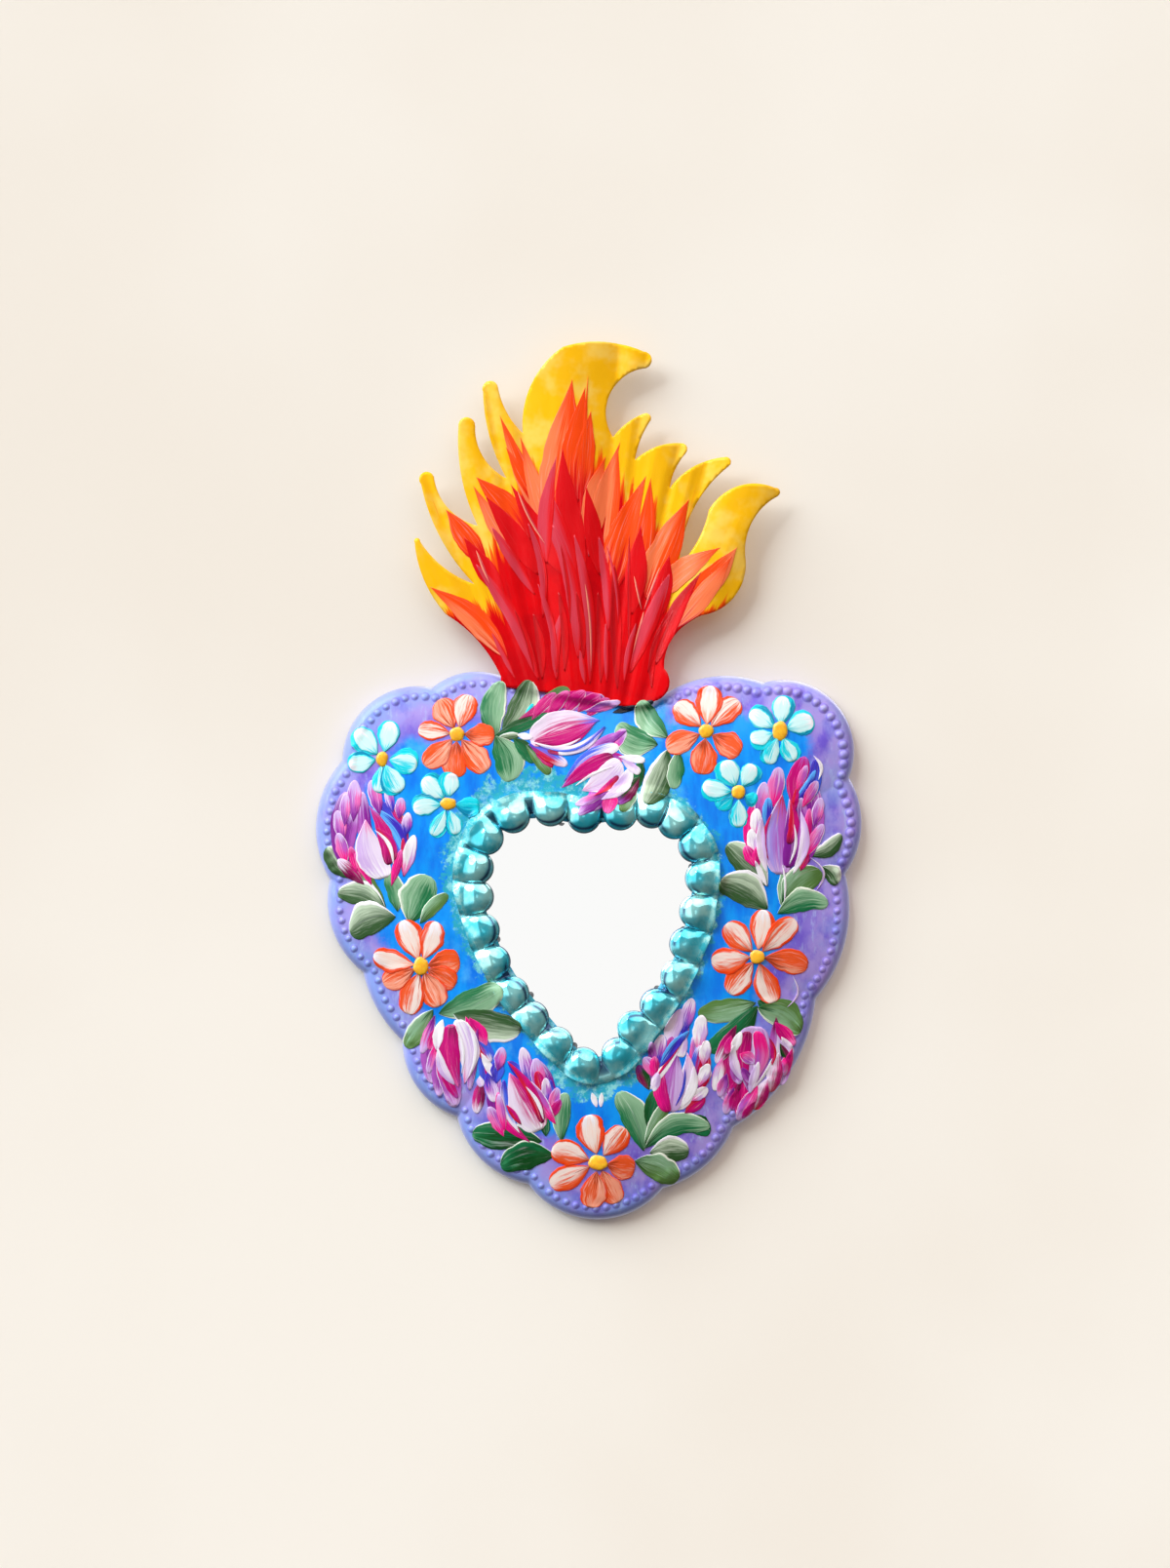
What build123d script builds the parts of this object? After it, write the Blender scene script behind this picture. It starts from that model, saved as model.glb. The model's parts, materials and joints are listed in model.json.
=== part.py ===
from build123d import *
import math
import os

# Painted tin heart mirror with a fluted flame, hung from a wire loop.
# Every piece is modelled lying on its back: X to the right, Y up the heart, Z off the wall.
# Y = 0 is where the loop bears on its nail and Z = 0 is the wall. Each piece is stood
# upright as it is written, so that it faces -Y with +Z up. All sizes are in millimetres.

# Heart front
HEART_WIDTH = 190.0
HEART_HEIGHT = 190.7
HEART_TOP = 32.6  # top of the lobes above the hanging point
HEART_CENTRE_DROP = 88.0  # middle of the heart below the top of its lobes
FRONT_SHEET = 0.5
LIP_WIDTH = 4.0  # turned lip, from the outer edge in to the row of beads
BEAD_ROW_HEIGHT = 6.2  # off the wall
LAND_HEIGHT = 12.0  # flat land round the mirror, off the wall
LIP_STEPS = 6
DOME_STEPS = 3

# Mirror opening and what lies round it, each measured outward from the opening's edge
MIRROR_WIDTH = 69.4
MIRROR_HEIGHT = 78.5
MIRROR_SHIFT = -1.0  # sideways, from the middle of the heart
MIRROR_DROP = 53.0  # top of the opening below the top of the heart's lobes
FRONT_OPENING_OUT = 2.0
GLASS_OUT = 5.5
LAND_OUT = 13.0
GLASS_THICKNESS = 2.0
CARD_THICKNESS = 1.2
CARD_MARGIN = 0.4  # the card is this much smaller than the glass all round

# Bezel
BEZEL_SHEET = 0.5
BEZEL_INNER_OUT = 1.0
BEZEL_OUTER_OUT = 11.3
LOBE_PATH_OUT = 5.4
LOBE_COUNT = 23
LOBE_RADIUS = 5.5  # where it meets the bezel's flat
LOBE_RISE = 4.2

# Tabs that hold the glass
TAB_COUNT = 6
TAB_SHEET = 0.5
TAB_WIDTH = 6.0
TAB_FOOT = 4.0
TAB_FINGER = 5.0
TAB_EDGE_GAP = 0.3  # to the edge of the glass

# Back plate
BACK_SHEET = 0.5
BACK_RECESS = 4.6  # back of the plate off the wall
BACK_EDGE_GAP = 0.3

# Flame
FLAME_WIDTH = 126.8
FLAME_HEIGHT = 126.1
FLAME_FOOT = 20.7  # its lowest edge above the hanging point
FLAME_SHEET = 0.5
FLAME_SEAT_GAP = 0.3  # between the flame and the top of the bead row
FLUTE_RISE = 0.11  # of a flute's width

# Hanger
WIRE_DIAMETER = 1.6
LOOP_WIDTH = 14.0  # between the wire's middles
LOOP_HEIGHT = 16.0
LOOP_CORNER = 2.0
BAR_STANDOFF = 1.5  # middle of the bar behind the back plate
LOOP_REST_GAP = 0.3
STRAP_SHEET = 0.5
STRAP_WIDTH = 9.0
STRAP_FOOT = 4.0
STRAP_CLEARANCE = 0.08

# Solder
FLAME_SOLDER_RADIUS = 3.2
FLAME_SOLDER_BITE = 0.1  # of the flame's sheet that the blobs stay behind its front
FLAME_SOLDER_DROP = 0.25  # of a blob's radius, outside the rim
FLAME_SOLDER_PLACES = (0.3, 0.5)  # of the way along the cleft's left and right half
BEZEL_SOLDER_RADIUS = 1.2
BEZEL_SOLDER_SPACING = 2  # lobes from one blob to the next
PLATE_SOLDER_RADIUS = 1.5
TAB_SOLDER_RADIUS = 1.1
STRAP_SOLDER_RADIUS = 1.1

# Scalloped outline, clockwise from the right end of the cleft. Each scallop is its
# crown and the notch after it, across in heart widths and down in heart heights.
CLEFT_END = (0.115, 0.059)
RIM_SCALLOPS = [
    ((0.226, 0.009), (0.321, 0.020)),
    ((0.443, 0.048), (0.477, 0.193)),
    ((0.500, 0.275), (0.470, 0.369)),
    ((0.471, 0.490), (0.416, 0.597)),
    ((0.369, 0.731), (0.265, 0.832)),
    ((0.222, 0.895), (0.136, 0.943)),
    ((0.007, 1.000), (-0.111, 0.936)),
    ((-0.190, 0.898), (-0.242, 0.813)),
    ((-0.315, 0.759), (-0.342, 0.674)),
    ((-0.389, 0.615), (-0.414, 0.549)),
    ((-0.470, 0.472), (-0.475, 0.380)),
    ((-0.500, 0.273), (-0.452, 0.162)),
    ((-0.401, 0.057), (-0.287, 0.029)),
    ((-0.213, 0.000), (-0.163, 0.007)),
    ((-0.025, 0.036), CLEFT_END),
]

# Mirror opening, clockwise from the dip in its top edge, in its own widths and heights.
MIRROR_SHAPE = [
    (-0.010, 0.024),
    (0.259, 0.001),
    (0.432, 0.052),
    (0.500, 0.199),
    (0.476, 0.403),
    (0.360, 0.670),
    (0.202, 0.868),
    (0.050, 1.000),
    (-0.122, 0.874),
    (-0.317, 0.664),
    (-0.454, 0.415),
    (-0.500, 0.237),
    (-0.439, 0.065),
    (-0.274, 0.000),
]

# Flame outline, clockwise from the left end of its foot. Each arc is a point that it
# passes through and its end, across in flame widths and up in flame heights.
FLAME_START = (-0.241, 0.081)
FLAME_ARCS = [
    ((-0.306, 0.181), (-0.391, 0.251)),
    ((-0.448, 0.338), (-0.4765, 0.447)),
    ((-0.474, 0.460), (-0.461, 0.451)),
    ((-0.398, 0.381), (-0.314, 0.335)),
    ((-0.418, 0.485), (-0.459, 0.608)),
    ((-0.444, 0.644), (-0.424, 0.630)),
    ((-0.374, 0.532), (-0.304, 0.495)),
    ((-0.353, 0.655), (-0.357, 0.765)),
    ((-0.335, 0.793), (-0.311, 0.769)),
    ((-0.278, 0.668), (-0.226, 0.626)),
    ((-0.281, 0.779), (-0.290, 0.862)),
    ((-0.269, 0.894), (-0.248, 0.873)),
    ((-0.219, 0.797), (-0.181, 0.750)),
    ((-0.155, 0.889), (-0.072, 0.984)),
    ((0.045, 1.000), (0.148, 0.975)),
    ((0.172, 0.956), (0.156, 0.929)),
    ((0.053, 0.845), (0.066, 0.739)),
    ((0.102, 0.776), (0.150, 0.804)),
    ((0.169, 0.797), (0.165, 0.779)),
    ((0.138, 0.723), (0.126, 0.676)),
    ((0.185, 0.712), (0.250, 0.723)),
    ((0.268, 0.713), (0.264, 0.693)),
    ((0.232, 0.640), (0.221, 0.598)),
    ((0.287, 0.658), (0.369, 0.683)),
    ((0.388, 0.674), (0.381, 0.657)),
    ((0.282, 0.532), (0.248, 0.386)),
    ((0.303, 0.464), (0.328, 0.538)),
    ((0.395, 0.598), (0.508, 0.599)),
    ((0.523, 0.590), (0.516, 0.576)),
    ((0.448, 0.508), (0.429, 0.400)),
    ((0.400, 0.302), (0.308, 0.248)),
    ((0.290, 0.239), (0.271, 0.227)),
    ((0.223, 0.176), (0.206, 0.102)),
    ((0.220, 0.057), (0.172, 0.011)),
    ((0.130, -0.001), (0.086, 0.000)),
    ((-0.060, 0.028), (-0.217, 0.049)),
    ((-0.236, 0.059), FLAME_START),
]

# Creases between the flame's flutes: where each crosses the foot and the top of the
# flame, in flame widths. The first and last lie outside the outline.
FLUTE_CREASES = [
    (-0.279, -0.815),
    (-0.198, -0.590),
    (-0.158, -0.472),
    (-0.113, -0.306),
    (-0.070, -0.220),
    (0.016, 0.083),
    (0.056, 0.164),
    (0.097, 0.306),
    (0.145, 0.410),
    (0.257, 0.740),
]

# Derived places
HALF_STEP = 0.5  # places round the mirror start half a step from its top
LAND_CUT = 3 * FRONT_SHEET  # through the land and clear of both its faces
WHOLE_BALL = 90  # degrees up to which a blob reaches
LOWER_BALL = 0
HEART_CENTRE = Vector(0, HEART_TOP - HEART_CENTRE_DROP)
MIRROR_TOP = HEART_TOP - MIRROR_DROP
LAND_BACK = LAND_HEIGHT - FRONT_SHEET
GLASS_BACK = LAND_BACK - GLASS_THICKNESS
CARD_BACK = GLASS_BACK - CARD_THICKNESS
FLAME_BACK = BEAD_ROW_HEIGHT + FLAME_SEAT_GAP
BACK_FRONT = BACK_RECESS + BACK_SHEET
WIRE_RADIUS = WIRE_DIAMETER / 2
TUNNEL_RADIUS = WIRE_RADIUS + STRAP_CLEARANCE
BAR_Z = BACK_RECESS - BAR_STANDOFF
LOOP_LEAN = math.degrees(math.asin((BAR_STANDOFF - WIRE_RADIUS - LOOP_REST_GAP) / LOOP_HEIGHT))
BAR_Y = WIRE_RADIUS - LOOP_HEIGHT * math.cos(math.radians(LOOP_LEAN))


def heart_point(share):
    """Point of the heart from its share of the width and height."""
    across, down = share
    return Vector(across * HEART_WIDTH, HEART_TOP - down * HEART_HEIGHT)


def ring_points(out, count=60):
    """Points of the mirror opening's outline, moved outward."""
    shape = [
        Vector(MIRROR_SHIFT + across * MIRROR_WIDTH, MIRROR_TOP - down * MIRROR_HEIGHT)
        for across, down in MIRROR_SHAPE
    ]
    outline = Spline(*shape, periodic=True)
    points = []
    for step in range(count):
        place = outline @ (step / count)
        along = outline % (step / count)
        points.append(place + Vector(-along.Y, along.X) * out)
    return points


def ring(out):
    """Closed smooth outline round the mirror, a given way out from the opening's edge."""
    return Wire([Spline(*ring_points(out), periodic=True)])


def ring_face(out):
    """Flat face inside such an outline."""
    return Face(ring(out))


def slab(face, height, thickness):
    """Flat piece of a given face, its back at a height off the wall."""
    return Pos(0, 0, height) * extrude(face, thickness, dir=(0, 0, 1))


def along_ring(out, count, start=0.0):
    """Evenly spaced places round the mirror, each a point and the outward direction."""
    path = ring(out)
    places = []
    for step in range(count):
        run = path.length * ((step + start) / count)
        along = path.tangent_at(run, position_mode=PositionMode.LENGTH)
        outward = Vector(-along.Y, along.X)
        places.append((path.position_at(run, position_mode=PositionMode.LENGTH), outward))
    return places


def bearing(place):
    """Direction of a point from the middle of the heart, in radians."""
    return math.atan2(place.Y - HEART_CENTRE.Y, place.X - HEART_CENTRE.X)


LAND_EDGE = ring_points(LAND_OUT, 720)


def land_point(place):
    """Point of the land's outer edge in the same direction as a point of the rim."""
    def turn(edge):
        return abs(math.remainder(bearing(edge) - bearing(place), math.tau))
    return min(LAND_EDGE, key=turn)


def rim_place(share, inset, rise_share=0.0):
    """Point moved in from the rim by an inset, then by a share of the way to the land."""
    outer = heart_point(share)
    inner = land_point(outer)
    toward = (inner - outer).normalized()
    start = outer + toward * inset
    return start + (inner - start) * rise_share


def rim_section(inset, rise_share, height):
    """Scalloped outline at a height off the wall."""
    arcs = []
    start = RIM_SCALLOPS[-1][1]
    for crown, notch in RIM_SCALLOPS:
        ends = [rim_place(share, inset, rise_share) for share in (start, crown, notch)]
        arcs.append(ThreePointArc(*ends))
        start = notch
    return Pos(0, 0, height) * Wire(arcs)


def front_form(drop):
    """Solid inside the front's outer surface, or inside a surface one sheet below it."""
    sections = []
    if drop:
        sections.append(rim_section(drop, 0, -LIP_WIDTH))
    for step in range(LIP_STEPS + 1):
        angle = math.radians(90 * step / LIP_STEPS)
        inset = LIP_WIDTH - (LIP_WIDTH - drop) * math.cos(angle)
        sections.append(rim_section(inset, 0, (BEAD_ROW_HEIGHT - drop) * math.sin(angle)))
    for step in range(1, DOME_STEPS + 1):
        share = step / DOME_STEPS
        rise = (LAND_HEIGHT - BEAD_ROW_HEIGHT) * math.sin(math.radians(90 * share))
        sections.append(rim_section(LIP_WIDTH, share, BEAD_ROW_HEIGHT + rise - drop))
    return Solid.make_loft(sections, True)


def make_heart_front(outside, inside):
    """Pressed heart: turned lip, dome and the flat land with the mirror opening."""
    opening = slab(ring_face(FRONT_OPENING_OUT), LAND_BACK - FRONT_SHEET, LAND_CUT)
    return outside - inside - opening


def make_bezel():
    """Flat ring pressed into hollow lobes all round."""
    places = [Pos(place.X, place.Y) for place, _ in along_ring(LOBE_PATH_OUT, LOBE_COUNT)]
    flat = ring_face(BEZEL_OUTER_OUT) - ring_face(BEZEL_INNER_OUT)
    flat = flat - [place * Circle(LOBE_RADIUS) for place in places]
    seat = LAND_HEIGHT + BEZEL_SHEET
    outer_ball = (LOBE_RADIUS**2 + LOBE_RISE**2) / (2 * LOBE_RISE)
    inner_ball = outer_ball - BEZEL_SHEET
    middle = seat + LOBE_RISE - outer_ball
    foot = math.sqrt(inner_ball**2 - (LAND_HEIGHT - middle) ** 2)
    outer_mid = middle + math.sqrt(outer_ball**2 - (LOBE_RADIUS / 2) ** 2)
    inner_mid = middle + math.sqrt(inner_ball**2 - (foot / 2) ** 2)
    side = Wire([
        Line((foot, LAND_HEIGHT), (LOBE_RADIUS, LAND_HEIGHT)),
        Line((LOBE_RADIUS, LAND_HEIGHT), (LOBE_RADIUS, seat)),
        ThreePointArc((LOBE_RADIUS, seat), (LOBE_RADIUS / 2, outer_mid), (0, seat + LOBE_RISE)),
        Line((0, seat + LOBE_RISE), (0, middle + inner_ball)),
        ThreePointArc((0, middle + inner_ball), (foot / 2, inner_mid), (foot, LAND_HEIGHT)),
    ])
    lobe = revolve(Plane.XZ * make_face(side.edges()), Axis.Z)
    return slab(flat, LAND_HEIGHT, BEZEL_SHEET) + [place * lobe for place in places]


def make_glass():
    """Mirror glass, hard against the back of the land."""
    return slab(ring_face(GLASS_OUT), GLASS_BACK, GLASS_THICKNESS)


def make_card():
    """Backing card behind the glass."""
    return slab(ring_face(GLASS_OUT - CARD_MARGIN), CARD_BACK, CARD_THICKNESS)


def tab_frames():
    """Where each tab stands: on the edge of the glass, its X axis pointing outward."""
    frames = []
    for place, outward in along_ring(GLASS_OUT, TAB_COUNT, HALF_STEP):
        turn = math.degrees(math.atan2(outward.Y, outward.X))
        frames.append(Pos(place.X, place.Y) * Rot(0, 0, turn))
    return frames


def make_tab(frame):
    """Bent tab: foot on the land's back, riser past the glass, finger over the card."""
    riser_in = TAB_EDGE_GAP
    riser_out = riser_in + TAB_SHEET
    foot_bottom = LAND_BACK - TAB_SHEET
    finger_bottom = CARD_BACK - TAB_SHEET
    profile = Polyline(
        (riser_out + TAB_FOOT, LAND_BACK),
        (riser_in, LAND_BACK),
        (riser_in, CARD_BACK),
        (-TAB_FINGER, CARD_BACK),
        (-TAB_FINGER, finger_bottom),
        (riser_out, finger_bottom),
        (riser_out, foot_bottom),
        (riser_out + TAB_FOOT, foot_bottom),
        close=True,
    )
    side = Plane.XZ * make_face(profile)
    return frame * extrude(side, TAB_WIDTH / 2, both=True)


def lip_inset(height):
    """How far in from the outer edge the inside of the lip lies at a height."""
    angle = math.asin(height / (BEAD_ROW_HEIGHT - FRONT_SHEET))
    return LIP_WIDTH - (LIP_WIDTH - FRONT_SHEET) * math.cos(angle)


def make_back_plate():
    """Flat plate that closes the back, set inside the lip."""
    outline = rim_section(lip_inset(BACK_FRONT) + BACK_EDGE_GAP, 0, 0)
    return slab(Face(outline), BACK_RECESS, BACK_SHEET)


def flame_point(share):
    """Point of the flame from its share of the width and height."""
    across, up = share
    return Vector(across * FLAME_WIDTH, FLAME_FOOT + up * FLAME_HEIGHT)


def flute_section(along, height):
    """Closed section of the fluted sheet, across the flame at one level."""
    creases = [foot + (top - foot) * along for foot, top in FLUTE_CREASES]
    edges = []
    for left, right in zip(creases, creases[1:]):
        start = left * FLAME_WIDTH
        end = right * FLAME_WIDTH
        rise = FLAME_BACK + FLUTE_RISE * (end - start)
        edges.append(((start, FLAME_BACK), ((start + end) / 2, rise), (end, FLAME_BACK)))
    back = [ThreePointArc(*[(x, height, z) for x, z in points]) for points in edges]
    front = [
        ThreePointArc(*[(x, height, z + FLAME_SHEET) for x, z in points]) for points in edges
    ]
    left_end = Line(back[0] @ 0, front[0] @ 0)
    right_end = Line(back[-1] @ 1, front[-1] @ 1)
    return Wire(back + [right_end] + front + [left_end])


def make_flame():
    """Fluted sheet cut to the outline of the tongues."""
    arcs = []
    start = flame_point(FLAME_START)
    for through, end in FLAME_ARCS:
        arcs.append(ThreePointArc(start, flame_point(through), flame_point(end)))
        start = flame_point(end)
    outline = slab(Face(Wire(arcs)), 0, FLAME_BACK + FLAME_WIDTH)
    spare = FLAME_SHEET / FLAME_HEIGHT
    levels = [(share, FLAME_FOOT + share * FLAME_HEIGHT) for share in (-spare, 1 + 2 * spare)]
    sheet = Solid.make_loft([flute_section(share, level) for share, level in levels], True)
    return sheet & outline


def make_strap():
    """Strap bent over the loop's bar, with a foot above and below on the back plate."""
    outer = TUNNEL_RADIUS + STRAP_SHEET
    legs_middle = Pos(BAR_Y, (BAR_Z + BACK_RECESS) / 2)
    foot = Pos(BAR_Y, BACK_RECESS - STRAP_SHEET / 2)
    side = foot * Rectangle(2 * (outer + STRAP_FOOT), STRAP_SHEET)
    side += legs_middle * Rectangle(2 * outer, BAR_STANDOFF)
    side += Pos(BAR_Y, BAR_Z) * Circle(outer)
    side -= legs_middle * Rectangle(2 * TUNNEL_RADIUS, BAR_STANDOFF)
    side -= Pos(BAR_Y, BAR_Z) * Circle(TUNNEL_RADIUS)
    return extrude(Plane.YZ * side, STRAP_WIDTH / 2, both=True)


def make_loop():
    """Wire bent to a D: bar in the strap, arms and an arch over the nail."""
    half = LOOP_WIDTH / 2
    corner_end = half - LOOP_CORNER
    spring_line = LOOP_HEIGHT - half
    bend = LOOP_CORNER * (1 - math.sqrt(0.5))
    path = Wire([
        Line((0, 0), (corner_end, 0)),
        ThreePointArc((corner_end, 0), (half - bend, bend), (half, LOOP_CORNER)),
        Line((half, LOOP_CORNER), (half, spring_line)),
        ThreePointArc((half, spring_line), (0, LOOP_HEIGHT), (-half, spring_line)),
        Line((-half, spring_line), (-half, LOOP_CORNER)),
        ThreePointArc((-half, LOOP_CORNER), (bend - half, bend), (-corner_end, 0)),
        Line((-corner_end, 0), (0, 0)),
    ])
    wire = sweep(Plane.YZ * Circle(WIRE_RADIUS), path)
    return Pos(0, BAR_Y, BAR_Z) * Rot(LOOP_LEAN, 0, 0) * wire


def blob(place, height, radius, top=WHOLE_BALL):
    """Blob of solder: a whole ball, or the lower half of one."""
    keep = (Align.CENTER, Align.CENTER, Align.NONE)
    return Pos(place.X, place.Y, height) * Sphere(radius, arc_size2=top, align=keep)


def between(first, second, share):
    """Point of the heart between two others, as shares of its width and height."""
    return tuple(a + (b - a) * share for a, b in zip(first, second))


def make_flame_solder(outside, flame):
    """Blobs in the corner between the lip of the cleft and the back of the flame."""
    left, crown, right = RIM_SCALLOPS[-2][1], RIM_SCALLOPS[-1][0], CLEFT_END
    height = FLAME_BACK + FLAME_SHEET * (1 - FLAME_SOLDER_BITE) - FLAME_SOLDER_RADIUS
    first, last = FLAME_SOLDER_PLACES
    blobs = []
    for share in (between(left, crown, first), crown, between(crown, right, last)):
        place = rim_place(share, -FLAME_SOLDER_RADIUS * FLAME_SOLDER_DROP)
        blobs.append(blob(place, height, FLAME_SOLDER_RADIUS) - outside - flame)
    return blobs


def make_bezel_solder():
    """Flat spots inside the front's opening, under the bezel's webs between lobes."""
    opening = slab(ring_face(FRONT_OPENING_OUT), LAND_BACK, FRONT_SHEET)
    spots = []
    for place, outward in along_ring(LOBE_PATH_OUT, LOBE_COUNT, HALF_STEP)[::BEZEL_SOLDER_SPACING]:
        middle = place + outward * (FRONT_OPENING_OUT - LOBE_PATH_OUT)
        spot = slab(Pos(middle.X, middle.Y) * Circle(BEZEL_SOLDER_RADIUS), LAND_BACK, FRONT_SHEET)
        spots.append(spot & opening)
    return spots


def make_plate_solder(inside, plate):
    """Blobs between the back plate's edge and the inside of the lip, one at each crown."""
    inset = lip_inset(BACK_FRONT) + BACK_EDGE_GAP
    blobs = []
    for crown, _ in RIM_SCALLOPS:
        place = rim_place(crown, inset)
        blobs.append((blob(place, BACK_RECESS, PLATE_SOLDER_RADIUS) & inside) - plate)
    return blobs


def make_tab_solder(tabs):
    """Blob at the end of each tab's foot, on the back of the land."""
    reach = TAB_EDGE_GAP + TAB_SHEET + TAB_FOOT
    blobs = []
    for frame, tab in zip(tab_frames(), tabs):
        end = (frame * Pos(reach, 0)).position
        blobs.append(blob(end, LAND_BACK, TAB_SOLDER_RADIUS, LOWER_BALL) - tab)
    return blobs


def make_strap_solder(strap):
    """Blob at each corner of the strap's feet, on the back plate."""
    reach = TUNNEL_RADIUS + STRAP_SHEET + STRAP_FOOT
    blobs = []
    for across in (-STRAP_WIDTH / 2, STRAP_WIDTH / 2):
        for up in (BAR_Y - reach, BAR_Y + reach):
            corner = Vector(across, up)
            blobs.append(blob(corner, BACK_RECESS, STRAP_SOLDER_RADIUS, LOWER_BALL) - strap)
    return blobs


def write(name, pieces):
    """Stand the solids of one piece up to face -Y and write them."""
    upright = [Plane.XZ.location * solid for piece in pieces for solid in piece.solids()]
    export_step(upright[0] if len(upright) == 1 else Compound(upright), f"parts/{name}.step")


def main():
    """Make every piece and write it."""
    os.makedirs("parts", exist_ok=True)
    outside = front_form(0)
    inside = front_form(FRONT_SHEET)
    plate = make_back_plate()
    flame = make_flame()
    strap = make_strap()
    tabs = [make_tab(frame) for frame in tab_frames()]
    write("heart_front", [make_heart_front(outside, inside)])
    write("mirror_bezel", [make_bezel()])
    write("mirror_glass", [make_glass()])
    write("backing_card", [make_card()])
    for number, tab in enumerate(tabs, 1):
        write(f"mirror_tab_{number}", [tab])
    write("back_plate", [plate])
    write("flame", [flame])
    write("hanger_strap", [strap])
    write("hanging_loop", [make_loop()])
    write("flame_solder", make_flame_solder(outside, flame))
    write("bezel_solder", make_bezel_solder())
    write("tab_solder", make_tab_solder(tabs))
    write("plate_solder", make_plate_solder(inside, plate))
    write("strap_solder", make_strap_solder(strap))


main()
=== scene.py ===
"""Painted tin heart mirror: the looks of every piece, its wall, its light and its camera.

Sizes are in millimetres on the "bench": x to the right, up the heart, and h off the wall
towards the viewer. The loop's bar crosses the origin. `stand` turns bench millimetres into
the metres of the shared frame, where the wall is the plane y = 0.
"""

import json
import logging
import math
from dataclasses import dataclass, field
from enum import Enum
from typing import Iterable, Optional, Sequence, Union

import bmesh
import bpy
import numpy as np
from mathutils import Vector, noise
from mathutils.bvhtree import BVHTree
from mathutils.geometry import delaunay_2d_cdt
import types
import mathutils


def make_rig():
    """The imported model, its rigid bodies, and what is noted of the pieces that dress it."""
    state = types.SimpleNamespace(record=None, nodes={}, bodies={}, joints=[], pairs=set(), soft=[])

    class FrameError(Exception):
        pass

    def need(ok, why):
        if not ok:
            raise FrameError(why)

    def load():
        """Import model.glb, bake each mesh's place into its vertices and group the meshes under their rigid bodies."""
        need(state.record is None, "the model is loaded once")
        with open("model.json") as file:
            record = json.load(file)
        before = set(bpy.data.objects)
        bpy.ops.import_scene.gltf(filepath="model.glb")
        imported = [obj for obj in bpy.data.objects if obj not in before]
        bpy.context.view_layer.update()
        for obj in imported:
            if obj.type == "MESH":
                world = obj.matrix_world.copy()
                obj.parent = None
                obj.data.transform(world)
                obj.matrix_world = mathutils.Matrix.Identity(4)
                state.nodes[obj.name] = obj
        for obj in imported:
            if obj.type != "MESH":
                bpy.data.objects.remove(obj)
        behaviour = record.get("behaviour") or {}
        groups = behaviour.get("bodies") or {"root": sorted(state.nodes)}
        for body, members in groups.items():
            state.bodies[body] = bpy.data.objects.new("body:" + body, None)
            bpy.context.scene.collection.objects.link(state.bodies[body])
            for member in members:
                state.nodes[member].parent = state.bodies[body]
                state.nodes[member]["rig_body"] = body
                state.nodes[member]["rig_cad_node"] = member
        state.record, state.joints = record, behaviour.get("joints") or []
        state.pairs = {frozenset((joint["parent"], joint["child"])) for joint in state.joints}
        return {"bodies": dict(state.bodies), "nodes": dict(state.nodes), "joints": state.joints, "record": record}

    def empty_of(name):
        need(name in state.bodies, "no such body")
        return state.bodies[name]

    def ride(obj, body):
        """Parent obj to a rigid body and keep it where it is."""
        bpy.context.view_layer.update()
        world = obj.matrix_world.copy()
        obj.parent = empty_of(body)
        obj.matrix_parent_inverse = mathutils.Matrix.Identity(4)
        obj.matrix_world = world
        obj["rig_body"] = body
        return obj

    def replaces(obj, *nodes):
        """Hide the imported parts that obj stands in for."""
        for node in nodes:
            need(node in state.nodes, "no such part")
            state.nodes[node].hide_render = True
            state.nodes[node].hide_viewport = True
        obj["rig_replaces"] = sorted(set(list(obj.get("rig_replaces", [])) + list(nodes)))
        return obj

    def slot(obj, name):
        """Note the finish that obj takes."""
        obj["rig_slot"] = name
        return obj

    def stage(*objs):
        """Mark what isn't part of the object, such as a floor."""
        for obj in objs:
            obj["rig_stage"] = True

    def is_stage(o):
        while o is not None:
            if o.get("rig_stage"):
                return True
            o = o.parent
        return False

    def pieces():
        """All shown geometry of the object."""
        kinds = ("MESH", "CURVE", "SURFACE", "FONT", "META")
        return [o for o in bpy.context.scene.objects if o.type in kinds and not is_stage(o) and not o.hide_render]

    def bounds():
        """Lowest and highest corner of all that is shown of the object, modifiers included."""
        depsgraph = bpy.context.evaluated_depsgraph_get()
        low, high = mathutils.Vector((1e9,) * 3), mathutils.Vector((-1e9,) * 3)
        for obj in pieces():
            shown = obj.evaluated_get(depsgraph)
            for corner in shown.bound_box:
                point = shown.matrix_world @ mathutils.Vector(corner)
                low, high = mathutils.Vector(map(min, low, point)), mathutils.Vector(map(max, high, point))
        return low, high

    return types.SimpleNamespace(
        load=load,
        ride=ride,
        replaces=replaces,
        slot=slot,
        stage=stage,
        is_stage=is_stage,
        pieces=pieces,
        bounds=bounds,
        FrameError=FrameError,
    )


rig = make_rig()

log = logging.getLogger("tin_mirror")

Point = tuple[float, float]

GRID_STEP = 0.34  # one step of the painter's layout grid
GRID_HOME = (604.0, 785.0)  # the grid step where the bench's origin lies
HEART_CENTRE = np.array((0.0, -55.4))
LAND_HEIGHT = 12.0  # of the flat land that the bezel stands on
MM = 1000.0  # millimetres in a metre
RAY_START = -0.1  # depth from which the drape looks at the front, in metres
NEAR_DEPTH = -0.006  # depth round which it looks for metal where its ray finds none
PAINTED_AREA = ((-97.0, -160.0), (97.0, 149.0))  # lowest and highest corner of the relief
RELIEF_CELL = 0.3  # width of one of its cells


def stand(points: np.ndarray) -> np.ndarray:
    """Turn bench millimetres into frame metres.

    Args:
        points: rows of x, up, h.
    Returns:
        Rows of frame x, y, z.
    """
    points = np.asarray(points, dtype=float)
    return np.stack((points[:, 0], -points[:, 2], points[:, 1]), axis=1) / MM


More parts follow.
